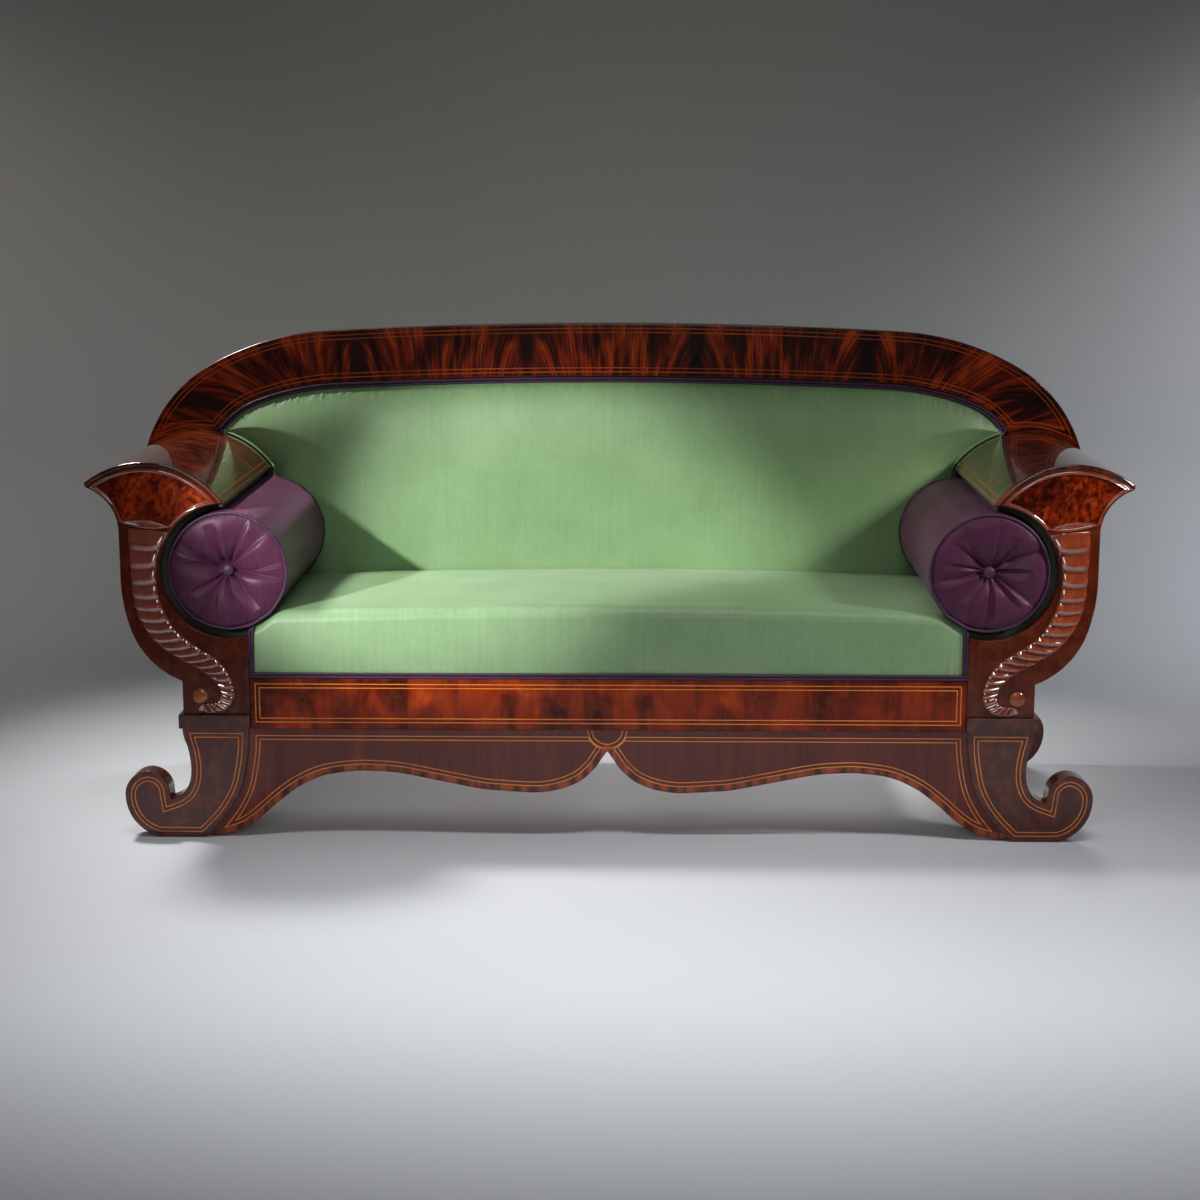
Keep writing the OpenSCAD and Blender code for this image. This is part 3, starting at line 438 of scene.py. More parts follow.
def swept(grid: Array, uv: Array | None = None, loop: bool = False, flat: bool = True) -> Shape:
    """A closed solid from a grid whose every row is a closed section.

    Args:
        grid: Points as (row, column, xyz).
        uv: Cloth coordinates as (row, column, 2).
        loop: Joins the last row to the first, where otherwise both are closed as ends.
        flat: Leaves the ends flat instead of smooth.

    Returns:
        The closed shape.
    """
    n, m = grid.shape[:2]
    shape = Shape(grid.reshape(-1, 3), uv=None if uv is None else uv.reshape(-1, 2))
    shape.add(ring_quads(n, m, wrap_rows=loop, wrap_columns=True))
    if not loop:
        shape.add([tuple(range(m)), tuple(range(n * m - 1, (n - 1) * m - 1, -1))], flat=flat)
    return shape.outward()


def tube(path: Array, radius: float, closed: bool = False, wobble: float = 0.0) -> Shape:
    """A round cord: a circle of the radius carried along a path, square to it.

    Args:
        path: Points of the middle line.
        radius: Radius of the cord.
        closed: Joins the end to the start.
        wobble: Share by which the radius comes and goes along the cord.

    Returns:
        The closed shape, with run length and turn in uv.
    """
    ahead = np.roll(path, -1, axis=0) - np.roll(path, 1, axis=0)
    if not closed:
        ahead[0], ahead[-1] = path[1] - path[0], path[-1] - path[-2]
    ahead /= np.linalg.norm(ahead, axis=1)[:, None]
    up = np.tile((0.0, 1.0, 0.0), (len(path), 1))
    up[np.abs(ahead[:, 1]) > 0.9] = (1.0, 0.0, 0.0)
    one = np.cross(ahead, up)
    one /= np.linalg.norm(one, axis=1)[:, None]
    two = np.cross(ahead, one)
    a = full_turn(12)
    run = run_length(path)
    r = radius * (1 + wobble * smooth_noise(run, run * 0, 0.03, 5))[:, None, None]
    rings = path[:, None] + r * (np.cos(a)[None, :, None] * one[:, None] + np.sin(a)[None, :, None] * two[:, None])
    return swept(rings, spread(run[:, None], a / (2 * np.pi) * radius * 6.3), loop=closed)


def strap(line: Array, across: Sequence[float], width: float, thick: float) -> Shape:
    """A woven strap: a flat section with soft edges carried along a line.

    At turn a the section lies width / 2 * |cos a|^0.3 across and thick / 2 * |sin a|^0.7 up.

    Args:
        line: Points of the middle line.
        across: Direction of the strap's width.
        width: Width of the strap.
        thick: Its thickness.

    Returns:
        The closed shape, with place across and run along in uv.
    """
    a = full_turn(18) + np.pi / 18
    s = np.sign(np.cos(a)) * np.abs(np.cos(a)) ** 0.3 * width / 2
    h = np.sign(np.sin(a)) * np.abs(np.sin(a)) ** 0.7 * thick / 2
    ahead = np.gradient(line, axis=0)
    ahead /= np.linalg.norm(ahead, axis=1)[:, None]
    side = np.asarray(across, float)
    up = np.cross(ahead, side)
    rings = line[:, None] + s[None, :, None] * side + h[None, :, None] * up[:, None]
    return swept(rings, spread(s, run_length(line)[:, None]))


def weaving(run: Array, crossings: Array, first: int) -> Array:
    """How far a strap rises, -1 to 1, as it passes over and under the ones that cross it.

    Args:
        run: Places along the strap.
        crossings: Places of the crossing straps.
        first: Even for a strap that starts over the first of them, odd for one that starts under it.

    Returns:
        Sum over k of (-1)^(first + k) exp(-(d / 34 mm)^4), d the distance to crossing k.
    """
    return np.sum([(-1) ** (first + k) * np.exp(-((run - c) / 0.034) ** 4) for k, c in enumerate(crossings)], axis=0)


def shell(grid: Array, thick: Array, uv: Array) -> Shape:
    """A thin closed sheet: a grid of points, the same grid moved by thick, and the rim between them.

    Args:
        grid: Points as (row, column, xyz).
        thick: Move from one face to the other, one for all points or one for each.
        uv: Cloth coordinates as (row, column, 2).

    Returns:
        The closed shape.
    """
    n, m = grid.shape[:2]
    k = 2 * m
    points = np.concatenate((grid, (grid + thick)[:, ::-1]), axis=1)
    shape = Shape(points.reshape(-1, 3), uv=np.concatenate((uv, uv[:, ::-1]), axis=1).reshape(-1, 2))
    shape.add(ring_quads(n, k, wrap_columns=True))
    j = np.arange(m - 1)
    for row, way in ((0, 1), (n - 1, -1)):
        b = row * k
        shape.add(spread(b + j, b + j + 1, b + k - 2 - j, b + k - 1 - j)[:, ::way])
    return shape.outward()


def together(parts: Sequence[Shape]) -> Shape:
    """Several shapes as one piece."""
    whole = parts[0]
    for part in parts[1:]:
        whole = whole.joined(part)
    return whole


# Shared levels, planes and circles


@dataclass(frozen=True)
class Plan:
    """Levels, planes and circles that several sub-assemblies share, for the right-hand side."""

    seat_half: float = 0.730
    crest_top: float = 1.020
    crest_w: float = 0.119
    front_y: float = -0.304
    crest_y: float = 0.279
    rear_y: float = 0.3135
    foot_h: float = 0.234
    base_z: float = 0.263
    rail_y: float = -0.301
    rail_t: float = 0.032
    rail_bot: float = 0.232
    rail_top: float = 0.338
    step_y: float = 0.291
    arm_t: float = 0.030
    arm_top_r: float = 0.194
    arm_top_t: float = 0.010
    recess_r: float = 0.138
    cradle_r: float = 0.1225
    cove_r: float = 0.095
    side_r: float = 0.340
    side_turn: float = -18.0
    hip_r: float = 0.174
    arm_base_x: float = 0.866
    tip_x: float = 1.050
    cord_r: float = 0.003
    soft_gap: float = 0.0003
    bolster_c: tuple[float, float] = (0.7673, 0.5598)
    web_t: float = 0.002
    strap_w: float = 0.050

    @property
    def under_r(self) -> float:
        """Radius of the underside of the arm top."""
        return self.arm_top_r - self.arm_top_t

    @property
    def top_c(self) -> Array:
        """Middle of the arm top's circle."""
        return np.array((self.seat_half + 0.200, self.base_z + 0.3235))

    @property
    def cove_c(self) -> Array:
        """Middle of the hollow under the arm's outer tip."""
        return np.array((self.seat_half + 0.349, self.base_z + 0.377))

    @property
    def side_c(self) -> Array:
        """Middle of the arm's long outer curve."""
        return np.array((self.seat_half - 0.086, self.base_z + 0.282))

    @property
    def hip_c(self) -> Array:
        """Middle of the arm's lower outer curve."""
        a = math.radians(self.side_turn)
        return self.side_c + (self.side_r - self.hip_r) * np.array((math.cos(a), math.sin(a)))

    @property
    def recess_c(self) -> Array:
        """Middle of the round recess that holds a bolster."""
        return np.array((self.seat_half + 0.037, self.base_z + 0.2965))

    @property
    def recess_turn(self) -> float:
        """Angle at which the recess meets the arm's inner foot."""
        return -180 + math.degrees(math.acos((self.recess_c[0] - self.seat_half) / self.recess_r))

    @property
    def nib(self) -> Array:
        """Point where the recess runs out into the arm top."""
        return crossing(self.recess_c, self.recess_r, self.top_c, self.arm_top_r, 1)

    @property
    def nib_under(self) -> Array:
        """Point where the recess meets the underside of the arm top."""
        return crossing(self.recess_c, self.recess_r, self.top_c, self.under_r, 1)

    @property
    def cove_end(self) -> Array:
        """Point where the hollow under the tip meets the underside of the arm top."""
        return crossing(self.cove_c, self.cove_r, self.top_c, self.under_r, -1)

    def arch(self, outer: bool, drawn: float, ring: float, steps: Sequence[int] = (30, 24, 44)) -> Array:
        """Right half of one edge of the crest, from its crown down to a circle round the arm top.

        Three arcs that flow together. The top arc's radius is (x^2 + h^2 - r^2) / 2 (h - r), where x and
        h place the second arc's middle below the crown and r is its radius.

        Args:
            outer: True for the outer edge, False for the inner one.
            drawn: Distance by which the line is drawn in.
            ring: Radius of the circle round the arm top where the line ends.
            steps: Steps in each of the three arcs.

        Returns:
            Points as (x, z), from x = 0 outwards.
        """
        top = self.crest_top if outer else self.crest_top - self.crest_w
        c2 = np.array((self.seat_half - 0.1184, top - 0.6094) if outer else (self.seat_half - 0.1371, top - 0.5955))
        r2, r3, a2 = (0.592, 0.320, 30.0) if outer else (0.5814, 0.189, 21.2)
        h = top - c2[1]
        r1 = (c2[0] ** 2 + h * h - r2 * r2) / (2 * (h - r2))
        a1 = math.degrees(math.asin(c2[0] / (r1 - r2)))
        c3 = c2 + (r2 - r3) * np.array((math.sin(math.radians(a2)), math.cos(math.radians(a2))))
        a3 = bearing(c3, crossing(c3, r3 - drawn, self.top_c, ring, 1))
        return np.vstack((polar((0, top - r1), r1 - drawn, 90, 90 - a1, steps[0]),
                          polar(c2, r2 - drawn, 90 - a1, 90 - a2, steps[1])[1:],
                          polar(c3, r3 - drawn, 90 - a2, a3, steps[2])[1:]))

    def outside(self, drawn: float) -> Array:
        """The arm's outer line from its foot to the hollow under the tip.

        Args:
            drawn: Distance by which the line is drawn in.

        Returns:
            Points of three arcs: hip, side and hollow.
        """
        hip_turn = -math.degrees(math.acos((self.arm_base_x - self.hip_c[0]) / self.hip_r))
        tip = crossing(self.cove_c, self.cove_r + drawn, self.top_c, self.under_r, -1)
        return np.vstack((polar(self.hip_c, self.hip_r - drawn, hip_turn, self.side_turn, 30),
                          polar(self.side_c, self.side_r - drawn, self.side_turn, 0, 24)[1:],
                          polar(self.cove_c, self.cove_r + drawn, 180, bearing(self.cove_c, tip), 34)[1:]))

    def arm(self) -> Array:
        """Outline of the arm's front board, from the inner foot round the outside to the recess."""
        return np.vstack(((self.seat_half, self.base_z), (self.arm_base_x, self.base_z), self.outside(0),
                          arc(self.top_c, self.under_r, self.cove_end, self.nib_under, 70),
                          polar(self.recess_c, self.recess_r, bearing(self.recess_c, self.nib_under),
                                self.recess_turn, 90)))

    def fan(self, d: float, sag: float, counts: Sequence[int] = (40, 56, 44, 36)) -> Array:
        """Outline of the sunk fan-shaped field, drawn in by d, with a bowed lower edge.

        Args:
            d: Distance from the arm's own edges.
            sag: How far the lower edge bows up in its middle.
            counts: Steps along the hollow, the top, the recess and the lower edge.

        Returns:
            Closed outline.
        """
        def on(c: Array, r: float, z: float, way: int) -> Array:
            """Point of a circle at a height."""
            return np.array((c[0] + way * math.sqrt(r * r - (z - c[1]) ** 2), z))

        a = on(self.cove_c, self.cove_r + d, self.base_z + 0.398, -1)
        b = on(self.recess_c, self.recess_r + d, self.base_z + 0.387, 1)
        tip = crossing(self.cove_c, self.cove_r + d, self.top_c, self.under_r - d, -1)
        nib = crossing(self.recess_c, self.recess_r + d, self.top_c, self.under_r - d, 1)
        t = np.linspace(0, 1, counts[3] + 1)[:, None]
        u = (a - b) / np.linalg.norm(a - b)
        low = b + (a - b) * t + np.array((-u[1], u[0])) * 4 * sag * t * (1 - t)
        start = bearing(self.cove_c, a)
        return np.vstack((polar(self.cove_c, self.cove_r + d, start + (360 if start < 0 else 0),
                                bearing(self.cove_c, tip), counts[0]),
                          arc(self.top_c, self.under_r - d, tip, nib, counts[1])[1:],
                          arc(self.recess_c, self.recess_r + d, nib, b, counts[2])[1:], low[1:-1]))


PLAN = Plan()


# Finishes


def shade(red: int, green: int, blue: int) -> tuple[float, float, float, float]:
    """Linear colour of a shade given as it looks on a screen, 0 to 255."""
    def linear(c: int) -> float:
        """Linear share of one channel."""
        v = c / 255
        return v / 12.92 if v <= 0.04045 else ((v + 0.055) / 1.055) ** 2.4

    return linear(red), linear(green), linear(blue), 1.0


class Wiring:
    """Adds nodes to a tree and joins them, one short call for each node."""

    def __init__(self, tree: bpy.types.NodeTree) -> None:
        """Keeps the tree."""
        self.tree = tree

    def node(self, kind: str, inputs: dict | None = None, **settings: object) -> bpy.types.Node:
        """Adds a node.

        Args:
            kind: Blender's type name of the node.
            inputs: Socket name or number to a value or to a socket to join.
            **settings: Properties of the node.

        Returns:
            The node.
        """
        made = self.tree.nodes.new(kind)
        for name, value in settings.items():
            setattr(made, name, value)
        for name, value in (inputs or {}).items():
            if isinstance(value, Socket):
                self.tree.links.new(value, made.inputs[name])
            else:
                made.inputs[name].default_value = value
        return made

    def math(self, how: str, a: object, b: object = 0.0, clamp: bool = False) -> Socket:
        """Result of a Math node on values or sockets.

        Args:
            how: Operation.
            a: First value or socket.
            b: Second value or socket.
            clamp: Keeps the result between 0 and 1.

        Returns:
            The output socket.
        """
        return self.node("ShaderNodeMath", {0: a, 1: b}, operation=how, use_clamp=clamp).outputs[0]

    def join(self, source: Socket, node: bpy.types.Node, name: str) -> None:
        """Joins an output socket to a node's input of that name."""
        self.tree.links.new(source, node.inputs[name])

    def point(self, x: object, y: object, z: object = 0.0) -> Socket:
        """Vector of three values or sockets."""
        return self.node("ShaderNodeCombineXYZ", {0: x, 1: y, 2: z}).outputs[0]

    def parts(self, vector: Socket) -> bpy.types.bpy_prop_collection:
        """The three values of a vector."""
        return self.node("ShaderNodeSeparateXYZ", {0: vector}).outputs

    def place(self, name: str = "Object") -> Socket:
        """Coordinates of the point that is shaded."""
        return self.node("ShaderNodeTexCoord").outputs[name]

    def stored(self, name: str) -> Socket:
        """Value of a point attribute."""
        return self.node("ShaderNodeAttribute", attribute_name=name).outputs["Fac"]

    def plus(self, a: object, b: object) -> Socket:
        """Sum of two values or sockets."""
        return self.math("ADD", a, b)

    def less(self, a: object, b: object) -> Socket:
        """Difference of two values or sockets."""
        return self.math("SUBTRACT", a, b)

    def times(self, a: object, b: object) -> Socket:
        """Product of two values or sockets."""
        return self.math("MULTIPLY", a, b)

    def swing(self, a: object, size: object) -> Socket:
        """A value of 0 to 1 as a swing about 0: (a - 0.5) * size."""
        return self.times(self.less(a, 0.5), size)

    def mix(self, share: object, a: object, b: object) -> Socket:
        """Mix of two colours by a share, each a value or a socket."""
        return self.node("ShaderNodeMix", {0: share, 6: a, 7: b}, data_type="RGBA").outputs[2]

    def noise(self, vector: object, scale: object, detail: float = 3.0, rough: float = 0.5,
              warp: object = 0.0) -> Socket:
        """Value of a Noise Texture.

        Args:
            vector: Coordinate socket.
            scale: Scale, a value or a socket.
            detail: Number of finer layers.
            rough: Strength of the finer layers.
            warp: Distortion.

        Returns:
            The value socket, 0 to 1.
        """
        return self.node("ShaderNodeTexNoise", {"Vector": vector, "Scale": scale, "Detail": detail,
                                                "Roughness": rough, "Distortion": warp}).outputs[0]

    def ramp(self, value: object, low: float, high: float) -> Socket:
        """Smooth step from 0 to 1 as a value goes from low to high."""
        return self.node("ShaderNodeMapRange", {0: value, 1: low, 2: high, 3: 0.0, 4: 1.0},
                         interpolation_type="SMOOTHSTEP").outputs[0]


def group(name: str, inputs: Sequence[tuple],
          outputs: Sequence[tuple]) -> tuple[bpy.types.NodeTree, Wiring, dict, bpy.types.Node]:
    """Starts a shader node group.

    Args:
        name: Name of the group.
        inputs: Name, socket type and default value of each input.
        outputs: Name and socket type of each output.

    Returns:
        The tree, its wiring, the input sockets by name and the output node.
    """
    tree = bpy.data.node_groups.new(name, "ShaderNodeTree")
    for label, kind, default in inputs:
        socket = tree.interface.new_socket(label, in_out="INPUT", socket_type=kind)
        if default is not None:
            socket.default_value = default
    for label, kind in outputs:
        tree.interface.new_socket(label, in_out="OUTPUT", socket_type=kind)
    wires = Wiring(tree)
    start = tree.nodes.new("NodeGroupInput")
    end = tree.nodes.new("NodeGroupOutput")
    return tree, wires, {s.name: s for s in start.outputs if s.name}, end


FLOAT, COLOR, VECTOR = "NodeSocketFloat", "NodeSocketColor", "NodeSocketVector"


def figure_group() -> bpy.types.NodeTree:
    """Crotch figure of sawn veneer, matched like an open book at every seam.

    With d the distance to the nearest plume and h the height up the leaf, a streak is a line of equal
    d + bend * h * exp(-d / reach), so that streaks lean in towards the plume as they rise. The plume
    itself is a dark, uneven core.

    Returns:
        The group: Colour, and Height of the pores.
    """
    tree, w, i, end = group("Crotch figure", (
        ("Vector", VECTOR, None), ("Spacing", FLOAT, 0.38), ("Shift", FLOAT, 0.0), ("Bend", FLOAT, 0.5),
        ("Reach", FLOAT, 0.075), ("Plume", FLOAT, 1.0), ("Streak", FLOAT, 2.2), ("Line", FLOAT, 1.2),
        ("Patch", FLOAT, 1.0), ("Mottle", FLOAT, 0.0), ("Seed", FLOAT, 0.0), ("Dark", COLOR, None),
        ("Deep", COLOR, None), ("Warm", COLOR, None), ("Bright", COLOR, None)),
        (("Color", COLOR), ("Height", FLOAT)))
    parts = w.parts(i["Vector"])
    drift = w.swing(w.noise(i["Vector"], 7.0, 2.0),
                   w.plus(0.012, w.times(i["Mottle"], 0.05)))
    across = w.plus(w.plus(parts[0], i["Shift"]), drift)
    leaf = w.math("DIVIDE", across, i["Spacing"])
    number = w.math("FLOOR", leaf)
    signed = w.swing(w.less(leaf, number), i["Spacing"])
    d = w.math("ABSOLUTE", signed)
    fade = w.math("EXPONENT", w.times(w.math("DIVIDE", d, i["Reach"]), -1.0))
    line = w.plus(d, w.times(w.times(parts[1], i["Bend"]), fade))
    turn = w.plus(w.times(number, 7.31), i["Seed"])
    tall = w.plus(0.10, w.times(i["Mottle"], 0.45))
    place = w.point(line, w.times(parts[1], tall), turn)
    fine_place = w.point(line, w.times(parts[1], 0.03), turn)
    broad = w.noise(place, 80.0, 4.0, 0.6, w.plus(0.25, w.times(i["Mottle"], 1.2)))
    fine = w.noise(fine_place, 330.0, 2.0, 0.6)
    patch = w.noise(w.point(d, w.times(parts[1], 0.6), turn),
                    13.0, 2.0, 0.5, 0.6)
    value = w.plus(w.swing(broad, i["Streak"]),
                   w.swing(fine, i["Line"]))
    value = w.plus(w.plus(value, w.swing(patch, i["Patch"])), 0.5)
    first = w.mix(w.ramp(value, 0.05, 0.42), i["Dark"], i["Deep"])
    second = w.mix(w.ramp(value, 0.4, 0.72), first, i["Warm"])
    third = w.mix(w.ramp(value, 0.72, 1.05), second, i["Bright"])
    wide = w.plus(0.004, w.times(w.noise(place, 34.0, 3.0, 0.6, 1.0), 0.045))
    core = w.less(1.0, w.ramp(w.math("DIVIDE", d, wide), 0.3, 1.25))
    core = w.times(core, i["Plume"])
    final = w.mix(w.times(core, 0.92), third, i["Dark"])
    pores = w.noise(fine_place, 900.0, 2.0, 0.7)
    w.join(final, end, "Color")
    w.join(w.plus(w.times(pores, 0.6), w.times(fine, 0.4)), end, "Height")
    return tree


def grain_group() -> bpy.types.NodeTree:
    """Plain grain: noise squeezed along the wood, in broad bands, streaks and fine pores.

    Returns:
        The group: Colour, and Height of the pores.
    """
    tree, w, i, end = group("Plain grain", (
        ("Vector", VECTOR, None), ("Along", VECTOR, None), ("Size", FLOAT, 1.0), ("Seed", FLOAT, 0.0),
        ("Contrast", FLOAT, 1.0), ("Dark", COLOR, None), ("Middle", COLOR, None), ("Light", COLOR, None)),
        (("Color", COLOR), ("Height", FLOAT)))
    place = w.node("ShaderNodeVectorMath", {0: i["Vector"], 1: i["Along"]}, operation="MULTIPLY").outputs[0]
    place = w.node("ShaderNodeVectorMath", {0: place, 3: i["Size"]}, operation="SCALE").outputs[0]
    move = w.point(i["Seed"], i["Seed"], i["Seed"])
    place = w.node("ShaderNodeVectorMath", {0: place, 1: move}, operation="ADD").outputs[0]
    broad = w.noise(place, 22.0, 3.0, 0.5, 1.2)
    streak = w.noise(place, 150.0, 3.0, 0.6, 0.2)
    pores = w.noise(place, 900.0, 2.0, 0.7)
    value = w.plus(w.swing(broad, 1.6),
                   w.swing(streak, 0.9))
    value = w.plus(w.times(value, i["Contrast"]), 0.5)
    low = w.mix(w.ramp(value, 0.1, 0.55), i["Dark"], i["Middle"])
    both = w.mix(w.ramp(value, 0.5, 0.95), low, i["Light"])
    dotted = w.mix(w.times(w.ramp(pores, 0.58, 0.75), 0.35), both, i["Dark"])
    w.join(dotted, end, "Color")
    w.join(w.plus(w.times(pores, 0.7), w.times(streak, 0.3)), end, "Height")
    return tree


def weave_group() -> bpy.types.NodeTree:
    """Silk weave: long fine warp threads with thicker slubs, and faint crosswise weft.

    Returns:
        The group: Shade of the threads around 1, and Height.
    """
    tree, w, i, end = group("Silk weave", (("Vector", VECTOR, None), ("Slub", FLOAT, 1.0), ("Seed", FLOAT, 0.0)),
                            (("Shade", FLOAT), ("Height", FLOAT)))
    parts = w.parts(i["Vector"])
    warp = w.point(parts[0], w.times(parts[1], 0.02), i["Seed"])
    weft = w.point(w.times(parts[0], 0.03), parts[1], i["Seed"])
    thread = w.noise(warp, 1700.0, 2.0, 0.6)
    slub = w.noise(warp, 210.0, 4.0, 0.7)
    cross = w.noise(weft, 1300.0, 2.0, 0.5)
    cloud = w.noise(i["Vector"], 8.0, 3.0, 0.55)
    value = w.plus(w.swing(thread, 0.45),
                   w.times(w.swing(slub, i["Slub"]), 0.42))
    value = w.plus(value, w.swing(cross, 0.3))
    value = w.plus(value, w.swing(cloud, 0.5))
    w.join(w.plus(value, 1.0), end, "Shade")
    height = w.plus(w.times(thread, 0.7), w.times(w.times(slub, i["Slub"]), 0.5))
    w.join(w.plus(height, w.times(cross, 0.5)), end, "Height")
    return tree


def wear_group() -> bpy.types.NodeTree:
    """Rubbed edges: where the edge attribute is 1 and a soft noise allows it, the colour turns lighter.

    Returns:
        The group: Colour and Mask.
    """
    tree, w, i, end = group("Rubbed edges", (("Vector", VECTOR, None), ("Color", COLOR, None), ("Edge", FLOAT, 0.0),
                                             ("Rubbed", COLOR, None), ("Strength", FLOAT, 0.6)),
                            (("Color", COLOR), ("Mask", FLOAT)))
    spots = w.ramp(w.noise(i["Vector"], 38.0, 4.0, 0.6), 0.42, 0.68)
    mask = w.math("MULTIPLY", w.times(spots, i["Edge"]), i["Strength"], clamp=True)
    w.join(w.mix(mask, i["Color"], i["Rubbed"]), end, "Color")
    w.join(mask, end, "Mask")
    return tree


class Groups:
    """The shared node groups, built once."""

    def __init__(self) -> None:
        """Builds all four."""
        self.figure, self.grain, self.weave, self.wear = figure_group(), grain_group(), weave_group(), wear_group()


def new_material(name: str) -> tuple[bpy.types.Material, Wiring, bpy.types.Node]:
    """Starts a material with a Principled shader.

    Args:
        name: Name of the finish.

    Returns:
        The material, its wiring and the shader node.
    """
    material = bpy.data.materials.new(name)
    material.use_nodes = True
    shader = next(n for n in material.node_tree.nodes if n.type == "BSDF_PRINCIPLED")
    return material, Wiring(material.node_tree), shader


def use(w: Wiring, tree: bpy.types.NodeTree, inputs: dict) -> dict:
    """Places a node group and fills its inputs.

    Args:
        w: Wiring of the material.
        tree: The group.
        inputs: Socket name to value or socket.

    Returns:
        The output sockets by name.
    """
    return {s.name: s for s in w.node("ShaderNodeGroup", inputs, node_tree=tree).outputs}


def surface(w: Wiring, shader: bpy.types.Node, color: Socket, height: Socket, strength: float, depth: float) -> None:
    """Feeds a colour to a shader, and a height through a Bump node to its Normal.

    Args:
        w: Wiring of the material.
        shader: The shader node.
        color: Colour socket.
        height: Height socket.
        strength: Strength of the bump.
        depth: Depth in metres.
    """
    made = w.node("ShaderNodeBump", {"Strength": strength, "Distance": depth, "Height": height})
    w.join(made.outputs[0], shader, "Normal")
    w.join(color, shader, "Base Color")


@dataclass(frozen=True)
class Polish:
    """Gloss of a polished wood: body roughness, the clear coat over it, and the body's own weak mirror."""

    rough: float = 0.32
    coat: float = 0.85
    coat_rough: float = 0.07
    coat_ior: float = 1.5
    under: float = 0.15

    def set_on(self, shader: bpy.types.Node) -> None:
        """Sets the shader's own sockets."""
        for name, value in (("Roughness", self.rough), ("Coat Weight", self.coat),
                            ("Coat Roughness", self.coat_rough), ("Coat IOR", self.coat_ior),
                            ("Specular IOR Level", self.under)):
            shader.inputs[name].default_value = value


@dataclass(frozen=True)
class FigureFinish:
    """Polished crotch veneer."""

    name: str
    from_uv: bool = False
    spacing: float = 0.38
    shift: float = 0.0
    bend: float = 0.5
    reach: float = 0.075
    plume: float = 1.0
    streak: float = 1.9
    line: float = 1.1
    patch: float = 1.5
    mottle: float = 0.0
    seed: float = 0.0
    dark: Rgb = (22, 4, 1)
    deep: Rgb = (70, 15, 2)
    warm: Rgb = (134, 38, 5)
    bright: Rgb = (190, 72, 14)
    turned: bool = False
    polish: Polish = Polish()

    def build(self, groups: Groups) -> bpy.types.Material:
        """Makes the material: figure, rubbed edges, faint pores under a clear coat."""
        material, w, shader = new_material(self.name)
        places = w.node("ShaderNodeTexCoord").outputs
        place = places["UV"] if self.from_uv else places["Object"]
        if not self.from_uv:
            p = w.parts(place)
            order = (p[1], p[0]) if self.turned else (p[0], p[2])
            place = w.point(order[0], order[1])
        amounts = ("spacing", "shift", "bend", "reach", "plume", "streak", "line", "patch", "mottle", "seed")
        inputs = {label.title(): getattr(self, label) for label in amounts}
        inputs |= {label.title(): shade(*getattr(self, label)) for label in ("dark", "deep", "warm", "bright")}
        out = use(w, groups.figure, {"Vector": place, **inputs})
        edge = w.stored("edge")
        worn = use(w, groups.wear, {"Vector": places["Object"], "Color": out["Color"], "Edge": edge,
                                    "Rubbed": shade(132, 56, 24), "Strength": 0.4})
        self.polish.set_on(shader)
        surface(w, shader, worn["Color"], out["Height"], 0.05, 0.0004)
        return material


@dataclass(frozen=True)
class GrainFinish:
    """Plain wood of any kind, with the grain one way."""

    name: str
    grain: Grain = Grain.UPRIGHT
    dark: Rgb = (38, 12, 8)
    middle: Rgb = (70, 24, 14)
    light: Rgb = (110, 42, 20)
    size: float = 1.0
    seed: float = 0.0
    contrast: float = 1.0
    rub: float = 0.5
    rubbed: Rgb = (130, 60, 32)
    relief: float = 0.1
    polish: Polish = Polish()

    def build(self, groups: Groups) -> bpy.types.Material:
        """Makes the material: plain grain, rubbed edges and pores."""
        material, w, shader = new_material(self.name)
        place = w.place()
        out = use(w, groups.grain, {"Vector": place, "Along": self.grain.value, "Size": self.size, "Seed": self.seed,
                                    "Contrast": self.contrast, "Dark": shade(*self.dark),
                                    "Middle": shade(*self.middle), "Light": shade(*self.light)})
        edge = w.stored("edge")
        worn = use(w, groups.wear, {"Vector": place, "Color": out["Color"], "Edge": edge,
                                    "Rubbed": shade(*self.rubbed), "Strength": self.rub})
        self.polish.set_on(shader)
        surface(w, shader, worn["Color"], out["Height"], self.relief, 0.0006)
        return material


@dataclass(frozen=True)
class ApronFinish:
    """Straight veneer with a crossbanded border, whose width is read from the rim attribute."""

    name: str
    band: float = 0.0135
    polish: Polish = Polish(0.32, 0.7, 0.08, 1.45)

    def build(self, groups: Groups) -> bpy.types.Material:
        """Makes the material: upright grain, and short pieces of veneer set square to the edge."""
        material, w, shader = new_material(self.name)
        place = w.place()
        field_ = use(w, groups.grain, {"Vector": place, "Along": Grain.UPRIGHT.value, "Size": 1.0, "Seed": 4.0,
                                       "Contrast": 0.6, "Dark": shade(66, 22, 14), "Middle": shade(96, 34, 21),
                                       "Light": shade(132, 54, 32)})
        along = w.stored("along")
        rim = w.stored("rim")
        strip = w.point(along, w.times(rim, 0.1))
        tone = w.plus(w.times(w.noise(strip, 34.0, 1.0), 1.5),
                      w.times(w.noise(strip, 600.0, 2.0), 0.5))
        cross = w.mix(w.ramp(tone, 0.8, 1.2), shade(74, 25, 14), shade(164, 74, 38))
        share = w.times(w.math("LESS_THAN", rim, self.band), w.math("GREATER_THAN", rim, -0.5))
        self.polish.set_on(shader)
        surface(w, shader, w.mix(share, field_["Color"], cross), field_["Height"], 0.1, 0.0005)
        return material


